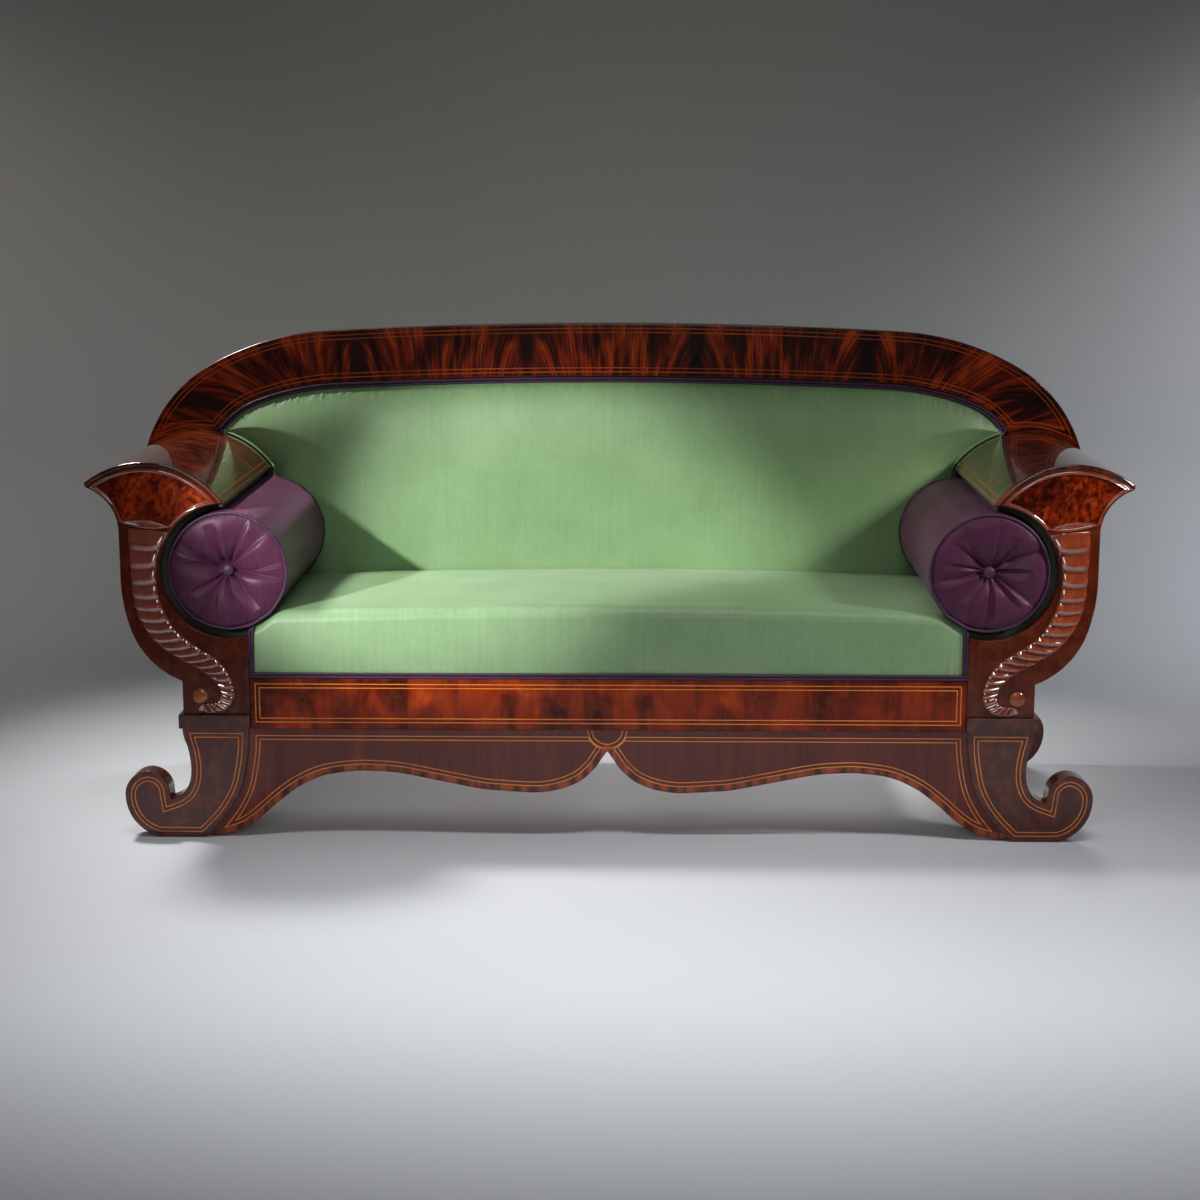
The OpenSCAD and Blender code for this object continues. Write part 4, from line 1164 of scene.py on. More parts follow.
@dataclass(frozen=True)
class SatinFinish:
    """Silk satin, with warp threads that run along the second UV direction."""

    name: str
    base: Rgb
    deep: Rgb
    sheen: Rgb
    rough: float = 0.46
    sheen_weight: float = 0.12
    slub: float = 1.0
    relief: float = 0.12
    seed: float = 0.0
    mirror: float = 1.5

    def build(self, groups: Groups) -> bpy.types.Material:
        """Makes the material: thread shade over two tones, thread bump and a soft sheen."""
        material, w, shader = new_material(self.name)
        out = use(w, groups.weave, {"Vector": w.place("UV"), "Slub": self.slub,
                                    "Seed": self.seed})
        tone = w.mix(w.ramp(out["Shade"], 0.62, 1.32), shade(*self.deep), shade(*self.base))
        for name, value in (("Roughness", self.rough), ("Sheen Weight", self.sheen_weight),
                            ("Sheen Roughness", 0.35), ("Sheen Tint", shade(*self.sheen)), ("IOR", self.mirror)):
            shader.inputs[name].default_value = value
        surface(w, shader, tone, out["Height"], self.relief, 0.0006)
        return material


@dataclass(frozen=True)
class CanvasFinish:
    """Plain woven jute or hessian: crossed threads from the UV map, uneven yarn from Object coordinates."""

    name: str
    light: Rgb = (176, 146, 100)
    dark: Rgb = (104, 80, 48)
    pitch: float = 0.0022

    def build(self, groups: Groups) -> bpy.types.Material:
        """Makes the material: crossed threads as two waves, with uneven yarn."""
        material, w, shader = new_material(self.name)
        places = w.node("ShaderNodeTexCoord").outputs
        p = w.parts(places["UV"])
        turns = 2 * math.pi / self.pitch
        one = w.math("SINE", w.times(p[0], turns))
        two = w.math("SINE", w.times(p[1], turns))
        over = w.times(one, two)
        yarn = w.noise(places["Object"], 260.0, 4.0, 0.7)
        value = w.plus(w.times(over, 0.3), yarn)
        shader.inputs["Roughness"].default_value = 0.9
        tone = w.mix(w.ramp(value, 0.2, 0.85), shade(*self.dark), shade(*self.light))
        surface(w, shader, tone, value, 0.5, 0.0008)
        return material


@dataclass(frozen=True)
class SteelFinish:
    """Plain screw steel."""

    name: str

    def build(self, groups: Groups) -> bpy.types.Material:
        """Makes the material: grey metal with a little dirt."""
        material, w, shader = new_material(self.name)
        place = w.place()
        spots = w.noise(place, 420.0, 4.0, 0.7)
        w.join(w.node("ShaderNodeMapRange", {0: spots, 3: 0.25, 4: 0.55}).outputs[0], shader, "Roughness")
        shader.inputs["Metallic"].default_value = 1.0
        surface(w, shader, w.mix(spots, shade(96, 94, 90), shade(176, 174, 170)), spots, 0.2, 0.0003)
        return material


class Finishes:
    """All finishes of the sofa by their plain names."""

    def __init__(self, groups: Groups) -> None:
        """Builds every material once."""
        gloss = Polish(0.3, 0.7, 0.045, 1.36)
        table = (
            FigureFinish("crest_veneer", from_uv=True, seed=2.0, polish=gloss),
            FigureFinish("rail_veneer", spacing=0.691, shift=0.408, bend=0.1, reach=0.1, plume=0.0, streak=0.5,
                         line=0.35, patch=2.4, seed=11.0, dark=(58, 12, 1), deep=(96, 23, 2), warm=(140, 42, 4),
                         bright=(178, 70, 9), polish=Polish(0.35, 0.25, 0.09, 1.4)),
            FigureFinish("fan_veneer", spacing=0.9, shift=0.2, bend=0.3, reach=0.2, plume=0.0, streak=2.4, line=0.5,
                         patch=1.4, mottle=0.9, seed=21.0, dark=(36, 6, 1), deep=(84, 18, 3), warm=(128, 38, 7),
                         bright=(166, 62, 14), polish=gloss),
            FigureFinish("arm_top_veneer", spacing=0.8, shift=0.1, bend=0.2, reach=0.1, plume=0.0, streak=1.5, line=0.7,
                         seed=31.0, dark=(24, 7, 4), deep=(50, 16, 8), warm=(84, 30, 12), bright=(120, 50, 20),
                         turned=True, polish=Polish(0.22, 1.0, 0.02, 1.5)),
            GrainFinish("mahogany_upright", Grain.UPRIGHT, (50, 13, 5), (78, 25, 9), (110, 42, 17), contrast=0.55,
                        seed=1.0, rub=0.35, polish=gloss),
            GrainFinish("mahogany_level", Grain.LEVEL, (46, 17, 12), (66, 26, 18), (92, 42, 27), contrast=0.6,
                        seed=2.0, rub=0.4),
            GrainFinish("mahogany_deep", Grain.DEEP, (42, 15, 9), (62, 24, 14), (88, 38, 21), contrast=0.6, seed=3.0),
            # the carving's rubbed colour is partly wear and partly a painted highlight on the horn's lips
            GrainFinish("mahogany_carved", Grain.UPRIGHT, (78, 22, 6), (132, 48, 13), (184, 82, 26), contrast=0.6,
                        seed=5.0, rub=0.3, rubbed=(176, 92, 46), relief=0.03, polish=Polish(0.2, 1.0, 0.07, 2.3)),
            GrainFinish("mahogany_plum", Grain.UPRIGHT, (54, 19, 13), (78, 29, 19), (106, 45, 29), contrast=0.55,
                        seed=6.0, rub=0.4),
            GrainFinish("mahogany_boss", Grain.DEEP, (96, 44, 22), (150, 78, 42), (176, 100, 58), size=1.6, seed=7.0),
            ApronFinish("apron_veneer"),
            GrainFinish("boxwood_line", Grain.LEVEL, (206, 104, 22), (238, 132, 34), (250, 152, 52), size=2.0,
                        rub=0.0, polish=Polish(0.35, 0.8, 0.1)),
            GrainFinish("crest_line", Grain.LEVEL, (150, 58, 12), (184, 78, 20), (204, 96, 30), size=2.0,
                        rub=0.0, polish=Polish(0.35, 0.8, 0.1)),
            GrainFinish("beech", Grain.LEVEL, (122, 92, 60), (166, 130, 90), (190, 156, 112), size=1.4, rub=0.2,
                        rubbed=(196, 168, 128), relief=0.3, polish=Polish(0.62, 0.0, 0.3, 1.5, 0.5)),
            SatinFinish("green_satin", (138, 168, 124), (112, 144, 98), (226, 232, 222), sheen_weight=0.2),
            SatinFinish("green_satin_back", (134, 166, 118), (108, 142, 93), (214, 232, 200), seed=3.0),
            SatinFinish("aubergine_satin", (90, 44, 70), (50, 22, 41), (232, 176, 218), rough=0.4,
                        sheen_weight=0.15, slub=1.2, relief=0.15, mirror=1.27),
            # the cords' own darker satin, also used on the bolster buttons as painted shade for their deep hollows
            SatinFinish("aubergine_cord", (76, 44, 74), (36, 18, 36), (200, 160, 200), rough=0.45, slub=0.8,
                        relief=0.4, mirror=1.4),
            # painted shade: a darkened copy of the green satin for the recess linings, which lie in the shadow of the
            # arm boards
            SatinFinish("lining_satin", (52, 66, 44), (34, 44, 30), (120, 140, 110), rough=0.6, sheen_weight=0.1,
                        seed=7.0),
            CanvasFinish("jute_web"),
            CanvasFinish("hessian", (168, 140, 98), (112, 88, 56), 0.0016),
            SteelFinish("screw_steel"))
        self.by_name = {finish.name: finish.build(groups) for finish in table}

    def __getitem__(self, name: str) -> bpy.types.Material:
        """The material of that name."""
        return self.by_name[name]

    def place(self, shape: Shape, node: str, word: str, *finishes: str, slot: str = "mahogany", body: str = "frame",
              crisp: bool = False, name: str = "") -> bpy.types.Object:
        """Makes a piece from a shape in place of a CAD node, and puts it on its body.

        Args:
            shape: The finished shape.
            node: CAD node that it replaces.
            word: What has been done to it, the last part of the piece's name.
            *finishes: One finish for each finish number.
            slot: Not used.
            body: CAD body that carries it.
            crisp: Keeps flat faces flat beside rounded edges.
            name: The piece's whole name, where it isn't the node's with the word.

        Returns:
            The object.
        """
        made = shape.to_object(name or f"{node}_{word}", [self[finish] for finish in finishes])
        if crisp:
            made.data.set_sharp_from_angle(angle=math.radians(46))
            made.modifiers.new("even_faces", "WEIGHTED_NORMAL").keep_sharp = True
        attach(made, body)
        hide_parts(node)
        LOG.info("piece %s: %d points, %d faces", made.name, len(shape.points), len(shape.faces))
        return made

    def dress(self, name: str, *nodes: str) -> None:
        """Gives CAD nodes a finish in place of their plain colour.

        Args:
            name: Name of the finish.
            *nodes: Names of the nodes.
        """
        for node in nodes:
            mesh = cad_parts[node].data
            mesh.materials.clear()
            mesh.materials.append(self[name])
            LOG.info("node %s in %s", node, name)


@dataclass
class Base:
    """Feet, blocks, apron and front rail.

    The three lines are (x, z) in millimetres, x from the seat's end outwards and z from the floor.
    """

    finishes: Finishes
    foot_t: float = 0.048
    foot_y: float = -0.300
    cap_out: float = 0.009
    apron_y: float = -0.292
    apron_t: float = 0.020
    scroll_r: float = 0.0505
    scroll_end: float = -101.0
    inner_line: tuple = ((5, 234), (5.3, 200), (8.5, 168), (17.5, 121), (28, 92.6), (44, 64), (61.3, 41),
                         (76.5, 24.5), (92, 9), (102, 0))
    outer_line: tuple = ((138.5, 234), (136.5, 212), (131, 190), (127, 168), (125.5, 147), (127.5, 125), (134, 107),
                         (143, 95.5), (156, 86.5), (169, 81.5))
    apron_line: tuple = ((93, 4.5), (80, 3), (54, 6.5), (18, 19), (-14, 41), (-56, 78), (-98, 109), (-150, 132),
                         (-212, 141), (-253, 141), (-305, 137), (-387, 121), (-469, 105), (-510, 101), (-572, 97.5),
                         (-603, 99), (-634, 105), (-665, 117), (-685, 130), (-706, 151), (-720, 172), (-730, 185))

    def inner(self) -> Array:
        """Line of the foot's inner side, from its top to the floor."""
        return flowing(np.array(self.inner_line) * MM + (PLAN.seat_half, 0), 8)

    def foot(self) -> Array:
        """Outline of a foot: outer side, round scroll, floor and inner side.

        The scroll's radius is r + 4 a^2 (mm, a in degrees) below its middle and shrinks by 8 mm above it.
        """
        outer = flowing(np.array(self.outer_line) * MM + (PLAN.seat_half, 0), 8)
        a = np.linspace(174, self.scroll_end, 90)
        r = np.where(a < 0, self.scroll_r + 4e-6 * a * a, np.where(a > 90, self.scroll_r - 8e-3 * (a - 90) / 84,
                                                                   self.scroll_r))
        scroll = spread(PLAN.seat_half + 0.213 + r * np.cos(np.radians(a)),
                        np.maximum(0, 0.090 + r * np.sin(np.radians(a))))
        return np.vstack((outer, scroll, self.inner()[::-1]))

    def build_feet(self) -> None:
        """Four feet as thick boards with rounded edges."""
        for side in Side:
            for where, y in (("front", self.foot_y), ("rear", PLAN.rear_y - self.foot_t)):
                name = f"foot_{where}_{side.word}"
                shape = slab(self.foot(), y, y + self.foot_t, 2.2 * MM).mirrored(side)
                self.finishes.place(shape, name, "shaped", "mahogany_plum", crisp=True)

    def build_blocks(self) -> None:
        """The blocks between feet and arms, with softened edges."""
        right = PLAN.arm_base_x + self.cap_out
        spans = (("cap_blocks_front", PLAN.front_y - self.cap_out, self.foot_y + self.foot_t + 0.002),
                 ("cap_blocks_rear", PLAN.rear_y - self.foot_t - 0.006, PLAN.rear_y))
        outline = softened(np.array(((PLAN.seat_half, PLAN.foot_h), (right, PLAN.foot_h), (right, PLAN.base_z),
                                     (PLAN.seat_half, PLAN.base_z))), 1.6 * MM)
        for name, y0, y1 in spans:
            one, two = slab(outline, y0, y1, 1.6 * MM), slab(outline, y0, y1, 1.6 * MM).mirrored(Side.LEFT)
            self.finishes.place(one.joined(two), name, "shaped", "mahogany_level", crisp=True)
        self.finishes.dress("mahogany_deep", "plinth_mouldings")

    def build_apron(self) -> None:
        """The shaped apron: upright columns between its lower edge and the foot or the rail.

        Each column runs from z = edge(x) to z = min(rail, foot side at x). The rim attribute is the
        distance from the lower edge, along the run of that edge from the middle.
        """
        half = flowing(np.array(self.apron_line) * MM + (PLAN.seat_half, 0), 12)[::-1]
        half[:, 0] = np.maximum(half[:, 0], 0)
        side = self.inner()
        tip = side[side[:, 1] > 0.009][-1]
        half = half[half[:, 0] < tip[0] - 0.0004]
        edge = both_halves(np.vstack((half, tip)))
        x, low = edge[:, 0], edge[:, 1]
        top = np.interp(np.abs(x), side[:, 0], side[:, 1])
        top = np.where(np.abs(x) <= PLAN.seat_half + 0.005, PLAN.rail_bot, np.minimum(PLAN.rail_bot, top))
        top = np.maximum(top, low + 0.0002)
        b = np.minimum(1.5 * MM, (top - low) * 0.3)
        run = run_length(edge)
        v = np.concatenate((np.linspace(0, 0.03, 9), np.linspace(0.05, 0.21, 9)))
        zs = np.minimum(low[:, None] + b[:, None] + v[None, :], top[:, None])
        t = np.radians(np.array((60.0, 30.0, 0.0)))
        round_z = low[:, None] + b[:, None] * (1 - np.cos(t))[None, :]
        round_y = b[:, None] * (1 - np.sin(t))[None, :]
        back = np.column_stack((zs[:, -1], zs[:, 8], low))
        z = np.column_stack((zs, back, low, round_z))
        y = self.apron_y + np.column_stack((np.zeros_like(zs), np.full(back.shape, self.apron_t), b, round_y))
        m = z.shape[1]
        spots = spread(x[:, None], zs).reshape(-1, 2)
        rim = np.min(np.hypot(*(spots[:, None] - edge[::2]).transpose(2, 0, 1)), axis=1).reshape(zs.shape)
        rim = np.column_stack((rim, np.full(back.shape, -1.0), np.zeros((len(x), 4)))).ravel()
        shape = swept(spread(x[:, None], y, z), flat=False)
        shape.along = np.repeat(run, m)
        made = self.finishes.place(shape, "apron", "shaped", "apron_veneer", crisp=True)
        made.data.attributes.new("rim", "FLOAT", "POINT").data.foreach_set("value", rim.astype(np.float32))

    def build_rail(self) -> None:
        """The front seat rail as a board with rounded edges."""
        outline = softened(np.array(((-PLAN.seat_half, PLAN.rail_bot), (PLAN.seat_half, PLAN.rail_bot),
                                     (PLAN.seat_half, PLAN.rail_top), (-PLAN.seat_half, PLAN.rail_top))), 1.2 * MM)
        shape = slab(outline, PLAN.rail_y, PLAN.rail_y + PLAN.rail_t, 1.6 * MM)
        self.finishes.place(shape, "seat_rail_front", "veneered", "rail_veneer", crisp=True)

    def build(self) -> None:
        """Builds the whole base."""
        self.build_feet()
        self.build_blocks()
        self.build_apron()
        self.build_rail()
        self.finishes.dress("beech", "seat_rail_rear", "seat_side_rail_left", "seat_side_rail_right", "seat_braces",
                            "corner_blocks", "apron_blocks", "apron_dowels")
        self.finishes.dress("screw_steel", "block_screws")
        self.finishes.dress("boxwood_line", "front_stringing")


@dataclass
class Arm:
    """One scroll arm: front board, bent top, outer panel, fan field, carved horn and linings.

    Each row of horn_edges matches a point of the horn's outer edge with one of its inner edge, both as
    (x, z) in millimetres from the arm's inner foot.
    """

    side: Side
    finishes: Finishes
    ribs: int = 22
    rise: float = 0.011
    fan_out: float = 0.003
    fan_in: float = 0.010
    fan_depth: float = 0.004
    sag: float = 0.009
    horn_edges: tuple = ((236, 385, 152, 376), (235, 337, 173, 335), (233.5, 287, 180, 290), (231, 247, 176, 245),
                         (223, 211, 164, 211), (208, 178, 146, 180), (184, 148, 122, 155), (154, 125, 92, 134),
                         (123, 107, 64, 116), (93, 90, 43, 93), (71, 70, 32, 67), (60, 49, 29, 43), (63, 31, 37, 20),
                         (75, 23, 55, 6), (88, 23, 80, 2.5), (99, 21.6, 106, 8))

    def put(self, shape: Shape, node: str, word: str, finish: str, slot: str = "mahogany",
            crisp: bool = True) -> bpy.types.Object:
        """Mirrors a shape to this arm's side and stands it in for one of the arm's nodes.

        Args:
            shape: Shape of the right arm.
            node: Node's name without its side.
            word: What has been done to it, for the piece's name.
            finish: Name of the finish.
            slot: Passed on to the finishes' place, which does not use it.
            crisp: Keeps flat faces flat beside rounded edges.

        Returns:
            The object.
        """
        return self.finishes.place(shape.mirrored(self.side), f"{node}_{self.side.word}", word, finish, slot=slot,
                                   crisp=crisp)

    def build_boards(self) -> None:
        """Front board with its sunk fan, outer panel, bent top and rear stile."""
        p = PLAN
        inner_y = p.front_y + p.arm_t
        board = slab(p.arm(), p.front_y, inner_y, 1.2 * MM, hole=p.fan(self.fan_out, -self.sag),
                     hole_depth=self.fan_depth)
        self.put(board, "arm_board", "shaped", "mahogany_upright")
        self.put(slab(np.vstack((p.outside(0), p.outside(0.010)[::-1])), inner_y, p.crest_y, 0.6 * MM), "arm_panel",
                 "bent", "mahogany_deep")
        tip = (p.tip_x, p.top_c[1] + math.sqrt(p.arm_top_r ** 2 - (p.tip_x - p.top_c[0]) ** 2))
        top = np.vstack((arc(p.top_c, p.arm_top_r, p.nib, tip, 90), (p.tip_x, p.cove_end[1] + 0.002), p.cove_end,
                         arc(p.top_c, p.under_r, p.cove_end, p.nib_under, 90)[1:]))
        self.put(slab(top, p.front_y, p.crest_y, 4.4 * MM, back_bevel=0.4 * MM), "arm_top", "rounded",
                 "arm_top_veneer")
        stile = np.vstack(((p.seat_half, p.base_z), (p.arm_base_x, p.base_z), p.outside(0),
                           arc(p.top_c, p.arm_top_r, tip, p.nib, 70), (p.seat_half, p.nib[1])))
        block = np.array(((p.seat_half - 0.030, p.rail_top), (p.seat_half + 0.001, p.rail_top),
                          (p.seat_half + 0.001, p.nib[1]), (p.seat_half - 0.030, p.nib[1])))
        both = slab(stile, p.crest_y, p.rear_y, 1.0 * MM).joined(slab(block, p.step_y, p.rear_y - 1e-4, 0.4 * MM))
        self.put(both, "back_stile", "shaped", "mahogany_upright")

    def build_fan(self) -> None:
        """Moulding round the fan field, a bead that opens into a hollow cuff where the field is wide.

        With a the distance from the outer line and w the local width, the height is the greatest of a
        half-round at each side, 3.5 mm wide from its middle, and a second bead 9 mm in where w allows it.
        """
        p = PLAN
        outer, inner = p.fan(self.fan_out, -self.sag), p.fan(self.fan_in, self.sag)
        f = np.linspace(0, 1, 30)
        wide = np.linalg.norm(inner - outer, axis=1)[:, None]
        a = f[None, :] * wide
        far = wide - a

        def bead(at: Array, middle: float, half: float) -> Array:
            """Half-round of a width about a middle."""
            return np.sqrt(np.maximum(0.0, 1 - ((at - middle) / half) ** 2))

        open_ = np.clip((wide - 0.0085) / 0.004, 0, 1)
        height = 3.4 * MM * np.maximum(bead(a, 3.4 * MM, 3.4 * MM), bead(far, 3.4 * MM, 3.4 * MM))
        height = np.maximum(height, 2.4 * MM * open_ * bead(a, 9.2 * MM, 2.3 * MM))
        flat = outer[:, None, :] + (inner - outer)[:, None, :] * f[None, :, None]
        y = p.front_y + 0.6 * MM + 1.6 * MM * open_ * np.sin(np.pi * f)[None, :] ** 0.5 - height
        y[:, 0] = y[:, -1] = p.front_y + self.fan_depth - 0.1 * MM
        shape = swept(at_depth(flat, y), loop=True)
        shape.edge = np.clip(height / (3.4 * MM), 0, 1).ravel()
        self.put(shape, "fan_moulding", "turned", "mahogany_carved")
        self.finishes.dress("fan_veneer", f"fan_panel_{self.side.word}")

    def build_horn(self) -> None:
        """Carved horn as a stack of flared cups.

        Along the horn each rib rises as (f / 0.62)^1.7 to a crease, rounds over as a lip by
        1 - 0.3 ((f - 0.6) / 0.33)^2 and drops back over its last 7 hundredths. Across it the height is
        (1 - |v|^6)^0.5, and the lips stand a little wider than the necks.
        """
        steps, across = self.ribs * 34, 26
        edges = np.array(self.horn_edges) * MM
        share = np.linspace(0, 1, steps + 1)
        e = curve_at(edges, (len(edges) - 1) * share ** 0.93)
        base = np.array((PLAN.seat_half, PLAN.base_z))
        a, b = base + e[:, :2], base + e[:, 2:]
        w = np.linalg.norm(a - b, axis=1)
        f = np.mod(self.ribs * share, 1.0)
        lip = 1 - 0.3 * ((f - 0.6) / 0.33) ** 2
        drop = lip * np.clip(1 - (f - 0.93) / 0.07, 0, 1)
        cup = np.where(f < 0.62, (f / 0.62) ** 1.7, drop)
        v = np.sin(np.linspace(-1, 1, across + 1) * math.pi / 2)
        side = spread(a[:, 1] - b[:, 1], b[:, 0] - a[:, 0]) / w[:, None]
        reach = v[None, :] * (0.965 + 0.035 * cup)[:, None]
        flat = ((a + b) / 2)[:, None] + ((b - a) / 2)[:, None] * reach[:, :, None]
        flat = flat + side[:, None] * (0.07 * w[:, None] * (1 - v * v)[None, :])[:, :, None]
        top = self.rise * (0.45 + 0.55 * np.minimum(1, w / 0.060)) * (0.42 + 0.58 * cup)
        y = PLAN.front_y - top[:, None] * np.maximum(0, 1 - np.abs(v) ** 6)[None, :] ** 0.5
        front = at_depth(flat, y).reshape(-1, 3)
        n = across + 1
        back = at_depth(flat[:, [0, -1]], PLAN.front_y + 0.3 * MM).reshape(-1, 3)
        # the rubbed lightening follows cup^3, so the lips come out lighter: partly wear, partly a painted highlight for
        # their bright reflections
        shape = Shape(np.vstack((front, back)), edge=np.concatenate((np.repeat(cup ** 3, n), np.zeros(len(back)))))
        shape.add(ring_quads(steps + 1, n))
        r = np.arange(steps)
        base_n = (steps + 1) * n
        l0, r0 = base_n + 2 * r, base_n + 2 * r + 1
        shape.add(spread(l0, r0, r0 + 2, l0 + 2))
        shape.add(spread(l0, l0 + 2, (r + 1) * n, r * n))
        shape.add(spread(r0 + 2, r0, r * n + across, (r + 1) * n + across))
        last = steps * n
        shape.add([(base_n + 1, base_n, *range(n)),
                   (base_n + 2 * steps, base_n + 2 * steps + 1, *range(last + across, last - 1, -1))])
        self.put(shape, "horn", "carved", "mahogany_carved", crisp=False)

    def build_linings(self) -> None:
        """Padded lining of the recess and the cloth behind the bolster, both in a darkened copy of the green satin that
        paints the shade of the recess.

        The lining's section is a rounded strip between two radii, carried round the recess.
        """
        p = PLAN
        y0, y1 = p.front_y + p.arm_t, p.crest_y
        a = np.radians(np.linspace(83, p.recess_turn, 120))
        t = np.linspace(0, 1, 40)
        edge = 6 * MM * np.exp(-t * (y1 - y0) / (9 * MM)) + 3 * MM * np.exp(-(1 - t) * (y1 - y0) / (6 * MM))
        r_in = p.cradle_r + edge + 0.5 * MM * smooth_noise(t * 3, t * 0, 0.8, 4)
        r = np.concatenate((r_in, (p.recess_r, p.recess_r)))
        y = np.concatenate((y0 + (y1 - y0) * t, (y1, y0)))
        a = a[:, None]
        pad = swept(about_axis(p.recess_c, r, a, y), spread(y, -a * p.cradle_r))
        turn = math.degrees(math.acos(-0.002 / (p.recess_r - MM)))
        face = slab(polar(p.recess_c, p.recess_r - MM, -turn, turn, 90), y1 - 4 * MM, y1 - 1e-5, 0.8 * MM)
        face.uv = face.points[:, [0, 2]]
        # painted shade: lining and back cloth take the darkened green satin, standing in for the recess's shadow
        made = self.put(pad.joined(face), "arm_pad", "stuffed", "lining_satin", "green_satin")

    def build(self) -> None:
        """Builds the whole arm."""
        self.build_boards()
        self.build_fan()
        self.build_horn()
        self.build_linings()
        self.finishes.dress("mahogany_upright", f"arm_rail_{self.side.word}")


@dataclass
class ArmCloth:
    """The cloth of both arms that is one node: hessian round the recesses, and the cords along their lips."""

    finishes: Finishes
    start: float = 79.0
    stop: float = -56.0
    cloth_t: float = 0.0015

    def build_hessian(self) -> None:
        """Hessian behind the padded lining: a grid round the recess, from front to back."""
        p = PLAN
        a = np.radians(np.linspace(self.start, self.stop, 90))[:, None]
        y0, y1 = p.front_y + p.arm_t, p.crest_y
        y = np.linspace(y0, y1, 50)[None, :]
        out = spread(np.cos(a), 0 * y, np.sin(a))
        middle = spread(p.recess_c[0], y, p.recess_c[1])
        uv = spread(a * p.recess_r, y)
        r0, thick = p.recess_r + 2e-4, self.cloth_t - 4e-4
        parts = [shell(middle + out * r0, out * thick, uv).mirrored(side) for side in Side]
        made = self.finishes.place(together(parts), "arm_hessian", "woven", "hessian", slot="jute")

    def build_cords(self) -> None:
        """A cord from front to back under each arm top's inner lip."""
        p, r = PLAN, PLAN.cord_r
        y = np.linspace(p.front_y + 0.001, p.crest_y - 0.0043, 160)
        x, z = p.recess_c[0] + 0.009, p.recess_c[1] + p.recess_r - r - 0.0012
        parts = [tube(spread(x, y, z), r, wobble=0.05).mirrored(side) for side in Side]
        self.finishes.place(together(parts), "arm_piping", "", "aubergine_cord", slot="aubergine_satin",
                            name="arm_cords")

    def build(self) -> None:
        """Builds both."""
        self.build_hessian()
        self.build_cords()


@dataclass
class Crest:
    """The arched crest rail between the arm tops."""

    finishes: Finishes
    ledge: float = 0.016
    bevel: float = 0.0028
    stations: int = 190
    bend_from: float = 0.72

    def build(self) -> None:
        """Builds the rail: one section carried along both edges at once.

        A section point is O + (I - O) f + u e, with I a point of the inner edge, O the outer point nearest
        to it and u the direction from O to I. Over the last half of the way O is drawn on by a growing
        share, so that both edges end together, and there the section bends to the arm top's circle.
        """
        p = PLAN
        ring = p.arm_top_r + 0.0002
        outer, inner = evenly(p.arch(True, 0, ring), 2400), evenly(p.arch(False, 0, ring), self.stations)
        near = np.argmin(np.linalg.norm(inner[:, None] - outer[None], axis=-1), axis=1) / (len(outer) - 1)
        way = np.linspace(0, 1, len(inner))
        near = near + (1 - near[-1]) * np.clip((way - 0.5) / 0.5, 0, 1) ** 2
        near[0] = 0.0
        at = near * (len(outer) - 1)
        outer = np.column_stack([np.interp(at, np.arange(len(outer)), outer[:, k]) for k in (0, 1)])
        outer, inner = both_halves(outer), both_halves(inner)
        b = self.bevel
        t = np.radians(np.array((0.0, 30.0, 60.0, 90.0)))
        face = 13
        lerp = np.linspace(0, 1, face)
        f = np.concatenate((lerp, np.ones(3), (1, 1, 1, 0, 0, 0), np.zeros(3)))
        e = np.concatenate((b * (1 - 2 * lerp), -b * (1 - np.sin(t[1:])), (0, self.ledge, self.ledge, b, 0, 0),
                            b * (1 - np.sin(t[:0:-1]))))
        y = p.crest_y + np.concatenate((np.zeros(face), b * (1 - np.cos(t[1:])), (p.step_y - p.crest_y,) * 2,
                                        (p.rear_y - p.crest_y,) * 2, (p.rear_y - p.crest_y - b, b + 0.002),
                                        b * (1 - np.cos(t[:0:-1]))))
        m, n = len(f), len(outer)
        across = inner - outer
        wide = np.linalg.norm(across, axis=1)[:, None]
        u = across / wide
        flat = outer[:, None] + across[:, None] * f[:, None] + u[:, None] * e[:, None]
        s = np.abs(np.linspace(-1, 1, n))
        pull = np.clip((s - self.bend_from) / (1 - self.bend_from), 0, 1) ** 2.2
        for end, sign in ((n - 1, 1), (0, -1)):
            centre = p.top_c * (sign, 1)
            turns = np.radians([bearing(centre, outer[end]), bearing(centre, inner[end])])
            a = turns[0] + (turns[1] - turns[0]) * np.clip(f, 0, 1)
            away = centre + ring * spread(np.cos(a), np.sin(a)) - (outer[end] + across[end] * np.clip(f, 0, 1)[:, None])
            half = np.sign(np.linspace(-1, 1, n)) == sign
            flat = flat + (pull * half)[:, None, None] * away
        run = run_length((outer + inner) / 2)
        uv = spread((run - run[n // 2])[:, None], wide * (1 - f) - e)
        shape = Shape(at_depth(flat, y).reshape(-1, 3), uv=uv.reshape(-1, 2))
        mark = np.zeros(m)
        mark[face:face + 3] = mark[-3:] = 1.0
        shape.edge = np.tile(mark, n)
        quads = ring_quads(n, m, wrap_columns=True)
        on_face = np.arange(len(quads)) % m < face - 1
        shape.add(quads[on_face], 0)
        shape.add(quads[~on_face], 1)
        shape.add([tuple(range(m)), tuple(range(n * m - 1, (n - 1) * m - 1, -1))], 1, True)
        self.finishes.place(shape.outward(), "crest_rail", "veneered", "crest_veneer", "mahogany_level", crisp=True)
        self.finishes.dress("crest_line", "crest_stringing", "arm_stringing")
        self.finishes.dress("mahogany_boss", "horn_bosses")
        self.finishes.dress("beech", "crest_dowels", "back_rail_lower", "back_uprights", "arm_battens")


